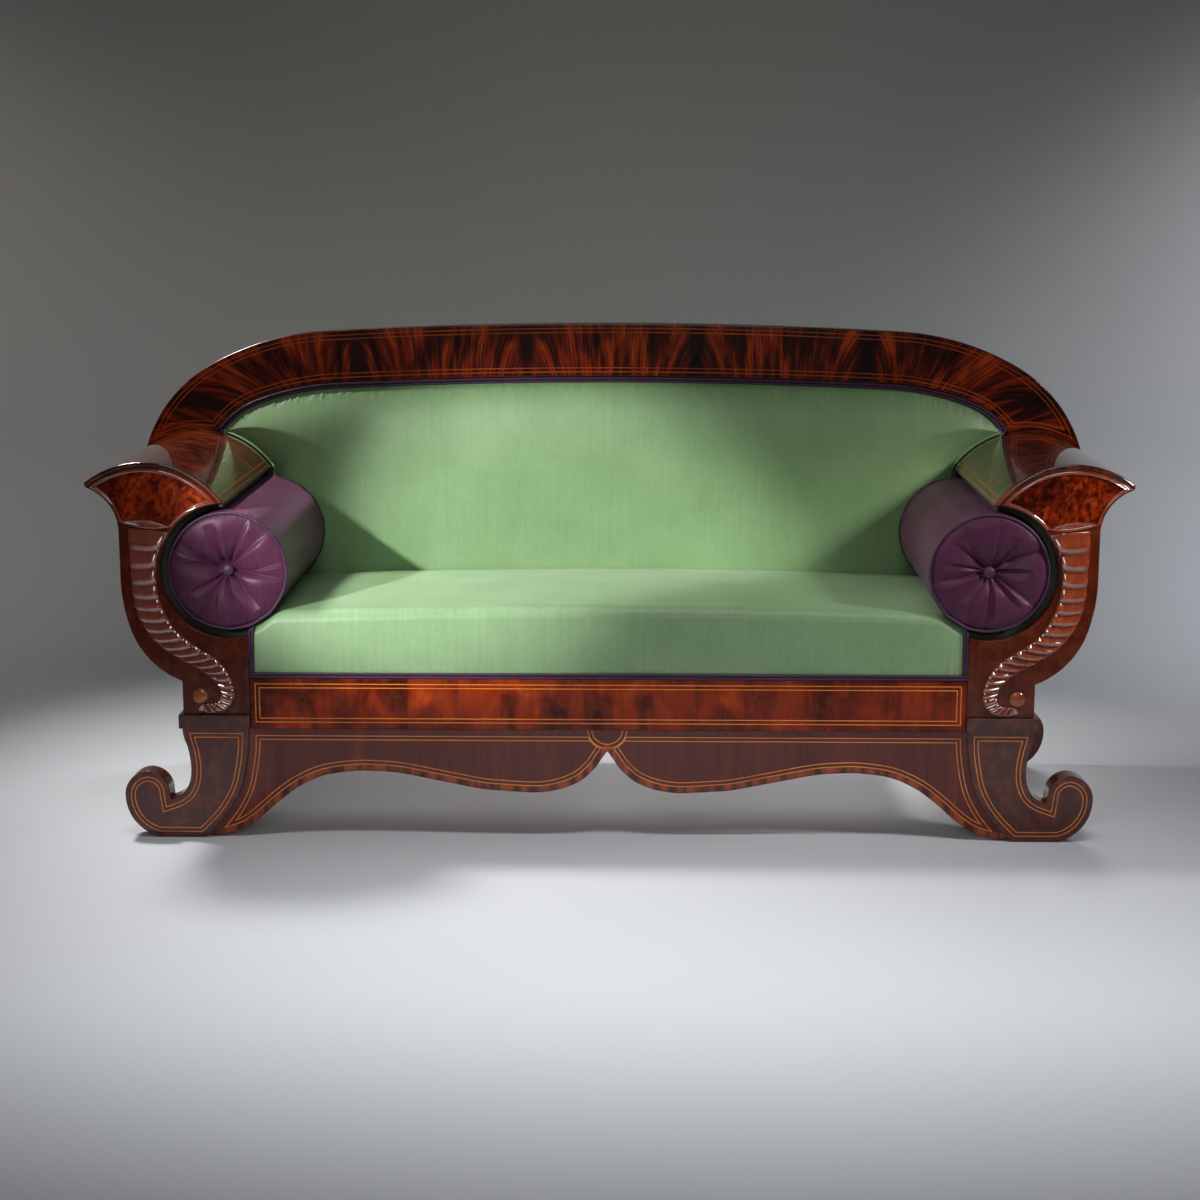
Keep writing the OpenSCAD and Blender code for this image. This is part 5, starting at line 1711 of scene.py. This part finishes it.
@dataclass
class Back:
    """Stuffed back inside the arch, its cord, and the webbing and cover behind it."""

    finishes: Finishes
    low: float = 0.400
    foot: float = 0.446
    swell: float = 0.040
    rim: float = 0.004
    side: float = 0.727
    corner: float = 0.769
    base_y: float = 0.2865
    lap_y: float = 0.2788
    room: float = 0.0129
    web_low: float = 0.436
    web_foot: float = 0.394
    turn_in: float = 0.008

    def top_at(self, x: Array, drawn: float) -> Array:
        """Height at x of a line drawn in from the crest's inner edge."""
        line = PLAN.arch(False, drawn, PLAN.arm_top_r * 0.6, (60, 50, 200))
        return np.interp(x, line[:, 0], line[:, 1])

    def arm_at(self, x: Array, radius: float) -> Array:
        """Height at x of a circle of a radius round the arm top."""
        return PLAN.top_c[1] + np.sqrt(np.maximum(0, radius ** 2 - (x - PLAN.top_c[0]) ** 2))

    def distance(self, a: Array, z: Array) -> Array:
        """Distance of each point from the stuffing's edge: side, arm top and arch as one line."""
        p = PLAN
        ring = p.arm_top_r + 0.002
        arch = p.arch(False, self.room, ring)
        nib = (self.corner, p.nib[1] + 0.001)
        on_arm = arc(p.top_c, ring, nib, arch[-1], 30)
        line = evenly(np.vstack(((self.corner, self.low), nib, on_arm, arch[::-1])), 620)
        return np.stack([np.min(np.linalg.norm(row[:, None] - line, axis=-1), axis=1) for row in spread(a, z)])

    def build_cushion(self) -> None:
        """The swelling back: depth = rim + swell (1 - exp(-d / 48 mm)), d the distance from its edge.

        Small gathers under the cord die away over 14 mm. Above the recess the rows lie on the stile; past
        its corner the lower rows make the thin wall along the arm's top.
        """
        p = PLAN
        ring = p.arm_top_r + 0.002
        end = p.arch(False, self.room, ring)[-1, 0] - 0.004
        right = np.concatenate((np.linspace(0, 0.62, 100), np.linspace(0.625, self.corner, 46),
                                np.linspace(self.corner + 3e-4, end, 26)))
        x = np.concatenate((-right[:0:-1], right))
        a = np.abs(x)[:, None]
        past = a > self.corner
        joint = np.where(past, self.arm_at(a, ring), p.nib[1] + 0.001)
        ease = np.clip((a - 0.60) / 0.12, 0, 1)
        foot = np.where(past, joint, self.low + (self.foot - self.low) * ease * ease * (3 - 2 * ease))
        hi = self.top_at(a, self.room)
        v = np.linspace(0, 1, 46)[None, :]
        u = ((1 - np.cos(np.pi * np.linspace(0, 1, 58))) / 2)[None, 1:]
        z = np.concatenate((foot + (joint - foot) * v, joint + (hi - joint) * u), axis=1)
        d, under = self.distance(a, z), hi - z
        xx = a * np.sign(x)[:, None] + 0 * z
        gather = 0.0022 * np.exp(-((under - 0.007) / 0.013) ** 2) * smooth_noise(xx, z * 0.2, 0.013, 8)
        soft = 0.0012 * smooth_noise(xx, z, 0.30, 3) * np.minimum(1, d / 0.06)
        y = self.base_y - self.rim - self.swell * (1 - np.exp(-d / 0.048)) - gather - soft
        wall = self.lap_y - 6e-5 + (y[:, 45:46] - self.lap_y + 6e-5) * v
        y[:, :46] = np.where(past, wall, y[:, :46])
        rear = np.where(a > self.side, self.lap_y, self.base_y)
        ends = z[:, [-1, 0]]
        grid = np.concatenate((spread(xx, y, z), spread(xx[:, :2], rear, ends)), axis=1)
        shape = swept(grid, grid[..., [0, 2]], flat=False)
        made = self.finishes.place(shape, "back_cushion", "stuffed", "green_satin_back", slot="green_satin")

    def build_cord(self) -> None:
        """Two cords side by side along the crest's inner edge."""
        r, gap = PLAN.cord_r, PLAN.soft_gap
        parts = []
        for k in (0, 1):
            half = evenly(PLAN.arch(False, r + gap + k * (2 * r + gap), PLAN.arm_top_r + r + 0.001), 240)
            parts.append(tube(at_depth(both_halves(half), PLAN.crest_y - 0.001), r, wobble=0.06))
        self.finishes.place(together(parts), "back_piping", "", "aubergine_cord", slot="aubergine_satin",
                            name="back_cord_double")

    def build_webbing(self) -> None:
        """Upright straps woven with three crosswise ones, each passing over and under in turn."""
        t, wide, n = PLAN.web_t, PLAN.strap_w, 90
        xs = np.arange(-5, 6) * 0.17 * PLAN.seat_half
        pitch = (PLAN.crest_top - PLAN.crest_w - self.web_low) / 5
        zs = self.web_low + (np.arange(3) + 0.7) * pitch + wide / 2
        middle = PLAN.step_y - t
        parts = []
        for i, x in enumerate(xs):
            z = np.linspace(self.web_foot, float(self.top_at(abs(x) + wide / 2, 0)) - 0.004, n)
            line = spread(x, middle + t / 2 * weaving(z, zs, i), z)
            parts.append(strap(line, (1, 0, 0), wide, 0.8 * t))
        x = np.linspace(0.006 - PLAN.seat_half, PLAN.seat_half - 0.006, 3 * n)
        for k, c in enumerate(zs):
            line = spread(x, middle + t / 2 * weaving(x, xs, k + 1), c)
            parts.append(strap(line, (0, 0, 1), wide, 0.8 * t))
        self.finishes.place(together(parts), "back_webbing", "woven", "jute_web", slot="jute")

    def build_cover(self) -> None:
        """The cloth on the back of the frame, cut to the arch and the arms, with its edge turned in."""
        p = PLAN
        low, side = p.arm_top_r - self.turn_in, p.seat_half + self.turn_in
        end = p.arch(False, self.room, p.arm_top_r + 0.002)[-1, 0] - 0.004
        on = np.linspace(p.nib[0], end, 30)
        over = end * (1 - np.linspace(0, 1, 120)) ** 0.8
        half = np.vstack(((side, p.rail_top + self.turn_in), (side, p.nib[1] - self.turn_in),
                          spread(on, self.arm_at(on, low)), spread(over, self.top_at(over, 0) + self.turn_in)))
        outline = tidy_loop(np.vstack((half, half[-2::-1] * (-1, 1))))
        shape = slab(outline, p.rear_y + 5e-5, p.rear_y + 0.0015, 0.0004)
        shape.uv = shape.points[:, [0, 2]].copy()
        made = self.finishes.place(shape, "outside_back", "cover", "green_satin_back", slot="green_satin", crisp=True)

    def build(self) -> None:
        """Builds the back and what lies behind it."""
        self.build_cushion()
        self.build_cord()
        self.build_webbing()
        self.build_cover()


@dataclass
class Seat:
    """Stuffed seat with its cords."""

    finishes: Finishes
    top: float = 0.488
    fall: float = 0.016
    edge_r: float = 0.026
    side: float = 0.728
    front: float = -0.2985
    rear: float = 0.243
    base: float = 0.3435
    dip_gap: float = 0.0005
    web_rear: float = 0.028
    web_room: float = 0.020
    hessian_t: float = 0.0011
    hessian_in: tuple[float, float, float] = (0.004, 0.006, 0.074)

    def crown(self, x: Array, y: Array) -> Array:
        """Height of the seat before its edges are rounded.

        top - fall u^2 - 16 v + 26 v (1 - v) in mm, u across and v from front to back, lowered to the
        bolster's circle where that is lower, with a soft joint.

        Args:
            x: Positions across.
            y: Positions from front to back.

        Returns:
            Heights.
        """
        u, v = x / self.side, (y - self.front) / (self.rear - self.front)
        plain = self.top - self.fall * u * u - 0.016 * v + 0.026 * v * (1 - v)
        r = PLAN.cradle_r + self.dip_gap
        d = np.abs(np.abs(x) - PLAN.bolster_c[0])
        dip = PLAN.bolster_c[1] - np.sqrt(np.maximum(1e-9, r * r - np.minimum(d, r) ** 2))
        dip = np.where(d < r, dip, 0.9)
        k = 0.004
        low = np.minimum(plain, dip)
        return low - k * np.log(np.exp(-(plain - low) / k) + np.exp(-(dip - low) / k))

    def build_cushion(self) -> None:
        """The seat as one closed section from rear to front, carried across.

        The front edge is a quarter circle of edge_r, the front face bellies out by 2 mm, and short pull
        creases rise from the cord over 22 mm.
        """
        right = np.concatenate((np.linspace(0, 0.64, 130), np.linspace(0.643, self.side, 46)))
        x = np.concatenate((-right[:0:-1], right))
        n = len(x)
        a = np.linspace(0, np.pi / 2, 9)
        y_rear = self.rear - 0.010 + 0.010 * np.cos(a)
        drop_rear = 0.010 * (1 - np.sin(a))
        y_mid = np.linspace(self.rear - 0.012, self.front + self.edge_r + 0.002, 60)
        b = np.linspace(0, np.pi / 2, 16)
        y_front = self.front + self.edge_r * (1 - np.sin(b))
        drop_front = self.edge_r * (1 - np.cos(b))
        y_top = np.concatenate((y_rear, y_mid, y_front))
        drop = np.concatenate((drop_rear, y_mid * 0, drop_front))
        xx, yy = np.meshgrid(x, y_top, indexing="ij")
        z_top = self.crown(xx, yy) - drop[None, :]
        z_top = z_top + 0.0010 * smooth_noise(xx, yy, 0.26, 12)
        t = np.linspace(0, 1, 26)[1:]
        z_start = z_top[:, -1]
        z_face = z_start[:, None] + (self.base + 0.004 - z_start)[:, None] * t[None, :]
        xf = x[:, None] + 0 * z_face
        up = z_face - (PLAN.rail_top + 0.0135)
        crease = 0.0010 * np.exp(-np.maximum(0, up) / 0.022) * smooth_noise(xf, z_face * 0.12, 0.016, 6)
        y_face = self.front - 0.0022 * np.sin(np.pi * t)[None, :] - crease * np.minimum(1, t * 5)[None, :]
        z = np.concatenate((z_top, z_face, np.full((n, 3), self.base)), axis=1)
        bottom = np.tile((self.front + 0.004, (self.front + self.rear) / 2, self.rear - 0.002), (n, 1))
        y = np.concatenate((yy, y_face, bottom), axis=1)
        step = np.hypot(np.diff(y, axis=1), np.diff(z, axis=1))
        v = np.concatenate((np.zeros((n, 1)), np.cumsum(step, axis=1)), axis=1)
        shape = swept(spread(x[:, None], y, z), spread(x[:, None], v), flat=False)
        made = self.finishes.place(shape, "seat_cushion", "stuffed", "green_satin", slot="green_satin")

    def build_cords(self) -> None:
        """Double cords along the bottom of the seat's front and up both its ends."""
        r, gap, half = PLAN.cord_r, PLAN.soft_gap, PLAN.seat_half
        parts = []
        for k in (0, 1):
            z = PLAN.rail_top + gap + r + k * (2 * r + gap)
            xs = np.linspace(gap - half, half - gap, 360)
            parts.append(tube(spread(xs, PLAN.rail_y, z), r, wobble=0.07))
            for sign in (-1, 1):
                x = sign * (half - r - gap - k * (2 * r + gap))
                zs = np.linspace(PLAN.rail_top + 4 * (r + gap), 0.438 + 0.006 * k, 40)
                lean = 0.004 * np.clip((zs - 0.40) / 0.04, 0, 1) ** 2
                parts.append(tube(spread(x, self.front - r - gap + lean, zs), r, wobble=0.07))
        self.finishes.place(together(parts), "seat_piping", "", "aubergine_cord", slot="aubergine_satin",
                            name="seat_cords_double")

    def build_webbing(self) -> None:
        """Straps from front to back woven with straps from end to end, and the hessian over them."""
        p, t, wide, n = PLAN, PLAN.web_t, PLAN.strap_w, 70
        xs = np.arange(-6, 7) * p.seat_half / 7
        inner_y = p.rail_y + p.rail_t
        pitch = (p.rear_y - self.web_rear - inner_y - 2 * self.web_room - wide) / 4
        ys = inner_y + self.web_room + wide / 2 + np.arange(5) * pitch
        middle = p.rail_top + t
        parts = []
        y = np.linspace(p.rail_y + 0.012, p.rear_y - 0.008, n)
        for i, x in enumerate(xs):
            line = spread(x, y, middle + t / 2 * weaving(y, ys, i))
            parts.append(strap(line, (1, 0, 0), wide, 0.8 * t))
        x = np.linspace(0.005 - p.seat_half, p.seat_half - 0.005, 4 * n)
        for k, c in enumerate(ys):
            line = spread(x, c, middle + t / 2 * weaving(x, xs, k + 1))
            parts.append(strap(line, (0, 1, 0), wide, 0.8 * t))
        self.finishes.place(together(parts), "seat_webbing", "woven", "jute_web", slot="jute")
        end_in, front_in, rear_in = self.hessian_in
        half, y0, y1 = p.seat_half - end_in, p.rail_y + front_in, p.rear_y - rear_in
        xx, yy = np.meshgrid(np.linspace(-half, half, 160), np.linspace(y0, y1, 60), indexing="ij")
        zz = p.rail_top + 2 * t + 0.0002 + 0.0001 * smooth_noise(xx, yy, 0.12, 21)
        cloth = shell(spread(xx, yy, zz), np.array((0.0, 0.0, self.hessian_t)), spread(xx, yy))
        made = self.finishes.place(cloth, "seat_hessian", "woven", "hessian", slot="jute")

    def build(self) -> None:
        """Builds the seat."""
        self.build_cushion()
        self.build_cords()
        self.build_webbing()


@dataclass
class Bolster:
    """A loose round bolster with pleated ends, cords and covered buttons.

    end_line runs from the middle of an end to its rim: distance from the axis and swell, in millimetres.
    """

    side: Side
    finishes: Finishes
    radius: float = 0.1195
    front: float = -0.300
    back: float = 0.236
    centre: tuple[float, float] = PLAN.bolster_c
    pleats: int = 13
    hub: float = 0.006
    rim: float = 0.0035
    seam: float = 0.0005
    button_in: float = 0.0095
    end_line: tuple = ((0, -12), (8, -11.6), (14, -9.4), (23, -2.4), (38, 4.4), (58, 8.0), (80, 8.6), (98, 6.2),
                       (109, 2.8), (114, 0.2), (116.5, -1.2))

    def put(self, shape: Shape, node: str, word: str, finish: str) -> bpy.types.Object:
        """Mirrors a shape to this bolster's side and puts it on the bolster's body in place of a node."""
        return self.finishes.place(shape.mirrored(self.side), f"{node}_{self.side.word}", word, finish,
                                   slot="aubergine_satin", body=f"bolster_{self.side.word}")

    def end_face(self, way: int, seed: int) -> tuple[Array, Array]:
        """One pleated end as rings about the axis.

        The end is a puffed ring about a sunk middle. Each pleat k is a fold that runs out from the button at
        an uneven turn: at arc distance t from it the cloth lies lower by D exp(-|t| / w), with w small on the
        fold's steep side and large on its soft side, and D dies away towards the fold's own length.

        Args:
            way: -1 for the front end, 1 for the back one.
            seed: Makes the two ends differ.

        Returns:
            Points as (ring, turn, xyz), and cloth coordinates.
        """
        turns, rings = 288, 60
        a = full_turn(turns)
        q = np.linspace(0, 1, rings)
        r = self.hub + (self.radius - (self.hub + self.rim)) * q ** 0.95
        share = r / self.radius
        line = flowing(np.array(self.end_line) * MM, 6)
        dome = np.interp(r, line[:, 0], line[:, 1])
        rng = np.random.default_rng(seed)
        n = self.pleats
        at = 2 * np.pi * (np.arange(n) + rng.uniform(-0.33, 0.33, n)) / n
        deep = rng.uniform(0.012, 0.024, n)
        long = rng.uniform(0.7, 1.2, n)
        steep = np.where(rng.uniform(size=n) < 0.5, -1.0, 1.0)
        curl = rng.uniform(-0.5, 0.5, n)
        turn = a[None, :, None] - at - curl * ((1 - share) ** 2)[:, None, None]
        t = (np.mod(turn + np.pi, 2 * np.pi) - np.pi) * r[:, None, None]
        wide = np.where(t * steep < 0, 0.003 + 0.005 * share[:, None, None], 0.008 + 0.024 * share[:, None, None])
        fade = np.clip(1 - share[:, None] / long, 0, 1) ** 0.65 * np.clip((share[:, None] - 0.05) / 0.12, 0, 1)
        fold = np.max(deep * fade[:, None, :] * np.exp(-np.abs(t) / wide), axis=-1)
        x, z = r[:, None] * np.cos(a), r[:, None] * np.sin(a)
        pucker = 0.0010 * np.exp(-(self.radius - r) / 0.007)[:, None] * smooth_noise(a * 0.12, a * 0, 0.016, seed + 9)
        away = dome[:, None] - fold + pucker * np.clip((1 - share) / 0.03, 0, 1)[:, None] \
            + 0.0011 * smooth_noise(x, z, 0.07, seed + 3) * np.clip((1 - share) / 0.2, 0, 1)[:, None]
        y = (self.front if way < 0 else self.back) + way * away
        return about_axis(self.centre, r[:, None], a, y), spread(x, z)

    def build_roll(self) -> None:
        """The roll: front end, body and back end as one closed grid.

        The body's radius dips under the cords, and faint wrinkles die away over 40 mm from each end.
        """
        front, uv_front = self.end_face(-1, 5 + self.side.value)
        back, uv_back = self.end_face(1, 9 + self.side.value)
        turns = front.shape[1]
        a = full_turn(turns)
        s = np.linspace(0, 1, 90)
        y = self.front + self.rim + (self.back - self.front - 2 * self.rim) * (s + 0.035 * np.sin(4 * np.pi * s) / -2)
        gap = np.minimum(y - self.front, self.back - y)
        wrinkle = 0.0009 * np.exp(-gap / 0.035)[:, None] * smooth_noise(a * 0.12, y[:, None] * 0.25, 0.03, 17)
        r = self.radius - 0.0012 * np.exp(-gap / 0.004)[:, None] + wrinkle - 0.0002
        body = about_axis(self.centre, r, a, y[:, None])
        uv_body = spread(y[:, None], a * self.radius)
        grid = np.concatenate((front, body, back[::-1]))
        uv = np.concatenate((uv_front, uv_body, uv_back[::-1]))
        rows = len(grid)
        shape = Shape(grid.reshape(-1, 3), uv=uv.reshape(-1, 2))
        shape.add(ring_quads(rows, turns, wrap_columns=True))
        n = len(shape.points)
        middle = [(self.centre[0], grid[i, :, 1].mean(), self.centre[1]) for i in (0, -1)]
        shape.points = np.vstack((shape.points, middle))
        shape.uv = np.vstack((shape.uv, ((0, 0), (0, 0))))
        j = np.arange(turns)
        shape.add(spread(n, j, np.roll(j, -1)))
        last = (rows - 1) * turns
        shape.add(spread(n + 1, last + np.roll(j, -1), last + j))
        self.put(shape.outward(), "bolster", "stuffed", "aubergine_satin")

    def build_cords(self) -> None:
        """A cord round each rim, a little uneven as sewn by hand."""
        a = full_turn(300)
        parts = []
        for y, seed in ((self.front + self.seam, 1), (self.back - self.seam, 2)):
            r = self.radius - 0.0009 + 0.0007 * smooth_noise(np.cos(a), np.sin(a), 0.5, seed)
            y = y + 0.0006 * smooth_noise(np.sin(a), np.cos(a), 0.45, seed + 5)
            parts.append(tube(about_axis(self.centre, r, a, y), PLAN.cord_r, closed=True, wobble=0.1))
        self.put(together(parts), "bolster_piping", "sewn", "aubergine_cord")

    def build_buttons(self) -> None:
        """A covered button in each end: a dome turned about the axis, with its cloth tucked under, in the darker cord
        satin as painted shade for the hollow it sits in.
        """
        profile = np.array(((0.0, 5.8), (3.5, 5.5), (7.0, 4.6), (9.8, 3.1), (11.6, 1.2), (12.0, -0.6),
                            (10.5, -1.6))) * MM
        line = flowing(profile, 4)
        turns = 48
        a = full_turn(turns)
        parts = []
        for out, way in ((self.front + self.button_in, -1), (self.back - self.button_in, 1)):
            r, h = line[1:, :1], line[1:, 1:]
            rings = about_axis(self.centre, r, a, out + way * h)
            rows = len(r)
            points = np.vstack((rings.reshape(-1, 3), (self.centre[0], out + way * line[0, 1], self.centre[1])))
            shape = Shape(points, uv=points[:, [0, 2]])
            shape.add(ring_quads(rows, turns, wrap_columns=True))
            j = np.arange(turns)
            shape.add(spread(rows * turns, j, np.roll(j, -1)))
            shape.add([tuple(range(rows * turns - 1, (rows - 1) * turns - 1, -1))])
            parts.append(shape.outward())
        # painted shade: the buttons take the darker cord satin for the deep hollow they sit in
        self.put(together(parts), "bolster_buttons", "covered", "aubergine_cord")

    def build(self) -> None:
        """Builds the bolster."""
        self.build_roll()
        self.build_cords()
        self.build_buttons()


@dataclass
class Studio:
    """Camera, pale floor with a curved backdrop, and soft lamps."""

    eye: tuple[float, float, float] = (0.0731, -4.657, 1.3445)
    yaw: float = -1.153
    pitch: float = 10.93
    lens: float = 66.0
    far: float = 1.9
    curve: float = 0.55
    tall: float = 5.0

    def build_camera(self) -> None:
        """Sets the photograph's viewpoint: yaw to the left and pitch down."""
        lens = bpy.data.cameras.new("view")
        lens.lens, lens.sensor_width, lens.sensor_fit = self.lens, 36.0, "HORIZONTAL"
        camera = bpy.data.objects.new("view", lens)
        bpy.context.scene.collection.objects.link(camera)
        yaw, pitch = math.radians(self.yaw), math.radians(self.pitch)
        ahead = Vector((math.sin(yaw) * math.cos(pitch), math.cos(yaw) * math.cos(pitch), -math.sin(pitch)))
        camera.location = self.eye
        camera.rotation_mode = "QUATERNION"
        camera.rotation_quaternion = ahead.to_track_quat("-Z", "Y")
        bpy.context.scene.camera = camera

    def paper(self) -> bpy.types.Material:
        """Finish of the stage: pale floor with painted shade that darkens it towards the front, away from the sofa, and
        a grey wall with a faint painted light gradient, clear when seen from behind.
        """
        material, w, shader = new_material("studio_paper")
        place = w.place()
        p = w.parts(place)
        # painted shade: the floor turns dark towards the front, away from the sofa, standing in for the lamps' falloff
        near = w.ramp(p[1], -2.9, -1.1)
        floor = w.mix(near, shade(60, 60, 61), shade(222, 224, 229))
        # painted light: a faint gradient across the wall, warmer at the upper left and cooler at the lower right
        slant = w.less(w.times(p[0], 0.45), p[2])
        wall = w.mix(w.ramp(slant, -2.6, 0.9), shade(196, 190, 184), shade(200, 202, 208))
        tone = w.mix(w.ramp(p[1], 0.4, self.far), floor, wall)
        fleck = w.swing(w.noise(place, 3.0, 2.0), 0.05)
        w.join(w.mix(w.plus(fleck, 0.02), tone, shade(255, 255, 255)), shader, "Base Color")
        shader.inputs["Roughness"].default_value = 0.75
        shader.inputs["Specular IOR Level"].default_value = 0.2
        end = next(node for node in w.tree.nodes if node.type == "OUTPUT_MATERIAL")
        clear = w.node("ShaderNodeBsdfTransparent").outputs[0]
        behind = w.node("ShaderNodeNewGeometry").outputs["Backfacing"]
        both = w.node("ShaderNodeMixShader", {0: behind, 1: shader.outputs[0], 2: clear}).outputs[0]
        w.join(both, end, "Surface")
        return material

    def build_floor(self) -> None:
        """Floor and wall as one sheet: a quarter circle joins them behind the sofa."""
        a = np.radians(np.linspace(0, 90, 24))
        y = np.concatenate(((-7.0,), self.far + self.curve * (np.sin(a) - 1), (self.far,)))
        z = np.concatenate(((0.0,), self.curve * (1 - np.cos(a)), (self.tall,))) - 0.0002
        xx, yy = np.meshgrid(np.linspace(-7, 7, 15), y, indexing="ij")
        shape = Shape(spread(xx, yy, z).reshape(-1, 3))
        shape.add(ring_quads(*xx.shape))
        made = shape.to_object("studio_floor", [self.paper()])
        if made.data.polygons[0].normal.z < 0:
            made.data.flip_normals()

    def lamp(self, name: str, at: Sequence[float], aim: Sequence[float], size: Sequence[float], power: float,
             beam: float = 180.0, tint: Sequence[float] = (1.0, 1.0, 1.0), hidden: bool = False) -> None:
        """Adds a soft rectangular lamp.

        Args:
            name: Name of the lamp.
            at: Where it hangs.
            aim: Point that it faces.
            size: Width and height.
            power: Watts.
            beam: Angle of its beam.
            tint: Colour.
            hidden: True for a lamp that no camera or mirror sees.
        """
        light = bpy.data.lights.new(name, "AREA")
        light.shape, light.size, light.size_y, light.energy, light.color = "RECTANGLE", size[0], size[1], power, tint
        light.spread = math.radians(beam)
        made = self.hang(light, at, aim)
        made.visible_camera = made.visible_glossy = not hidden

    def beam(self, name: str, at: Sequence[float], aim: Sequence[float], power: float, angle: float) -> None:
        """Adds a narrow lamp whose light fades towards the rim.

        Args:
            name: Name of the lamp.
            at: Where it hangs.
            aim: Point that it faces.
            power: Watts.
            angle: Full angle of its cone.
        """
        light = bpy.data.lights.new(name, "SPOT")
        light.energy, light.spot_size, light.spot_blend, light.shadow_soft_size = power, math.radians(angle), 0.75, 0.04
        self.hang(light, at, aim)

    def hang(self, light: bpy.types.Light, at: Sequence[float], aim: Sequence[float]) -> bpy.types.Object:
        """Puts a lamp in the scene.

        Args:
            light: The lamp.
            at: Where it hangs.
            aim: Point that it faces.

        Returns:
            The lamp as an object.
        """
        made = bpy.data.objects.new(light.name, light)
        made.location = at
        made.rotation_mode = "QUATERNION"
        made.rotation_quaternion = (Vector(aim) - Vector(at)).to_track_quat("-Z", "Y")
        bpy.context.scene.collection.objects.link(made)
        return made

    def build_lamps(self) -> None:
        """Key high on the left, a beam from the left front, a broad weak fill, a wide floor lamp and a dim room."""
        self.lamp("key", (-1.42, 0.34, 1.85), (-0.5, 0.0, 0.45), (0.3, 0.3), 10.0, 90.0, (1.0, 0.99, 0.97))
        self.lamp("fill", (0.0, -4.2, 2.2), (0.0, 0.0, 0.5), (1.5, 1.5), 2.6, 50.0)
        self.lamp("pool", (0.25, -1.25, 3.0), (0.25, -1.25, 0.0), (2.4, 0.4), 10.0, 60.0, (0.96, 0.98, 1.0))
        self.lamp("side", (2.3, -1.0, 1.7), (1.0, -0.1, 0.64), (0.3, 0.3), 1.5, 26.0, (1.0, 0.97, 0.93))
        self.lamp("wall", (2.6, 0.2, 2.3), (2.4, 1.9, 0.1), (0.6, 0.6), 9.0, 80.0, (0.95, 0.97, 1.0))
        self.lamp("wall_left", (-2.6, 0.3, 2.3), (-2.4, 1.9, 0.1), (0.6, 0.6), 3.0, 90.0)
        self.lamp("rear", (0.5, 1.8, 0.95), (0.0, 0.3, 0.6), (1.6, 0.3), 14.0, 100.0, hidden=True)
        self.beam("beam", (-1.9, -2.6, 1.5), (-0.27, 0.0, 0.57), 560.0, 17.0)
        self.beam("glint", (-1.6, -1.6, 2.3), (0.74, -0.15, 0.6), 110.0, 7.5)
        world = bpy.data.worlds.new("room")
        world.use_nodes = True
        ground = world.node_tree.nodes["Background"]
        ground.inputs[0].default_value = (0.95, 0.97, 1.0, 1.0)
        ground.inputs[1].default_value = 0.06
        bpy.context.scene.world = world

    def build(self) -> None:
        """Builds the studio and sets the plain view transform."""
        self.build_camera()
        self.build_floor()
        self.build_lamps()
        bpy.context.scene.view_settings.view_transform = "Standard"


def main() -> None:
    """Builds the studio and every sub-assembly in order."""
    logging.basicConfig(level=logging.INFO, format="%(name)s: %(message)s")
    Studio().build()
    finishes = Finishes(Groups())
    Base(finishes).build()
    for side in Side:
        Arm(side, finishes).build()
    Crest(finishes).build()
    Back(finishes).build()
    Seat(finishes).build()
    for side in Side:
        Bolster(side, finishes).build()
    ArmCloth(finishes).build()


if __name__ == "__main__":
    main()
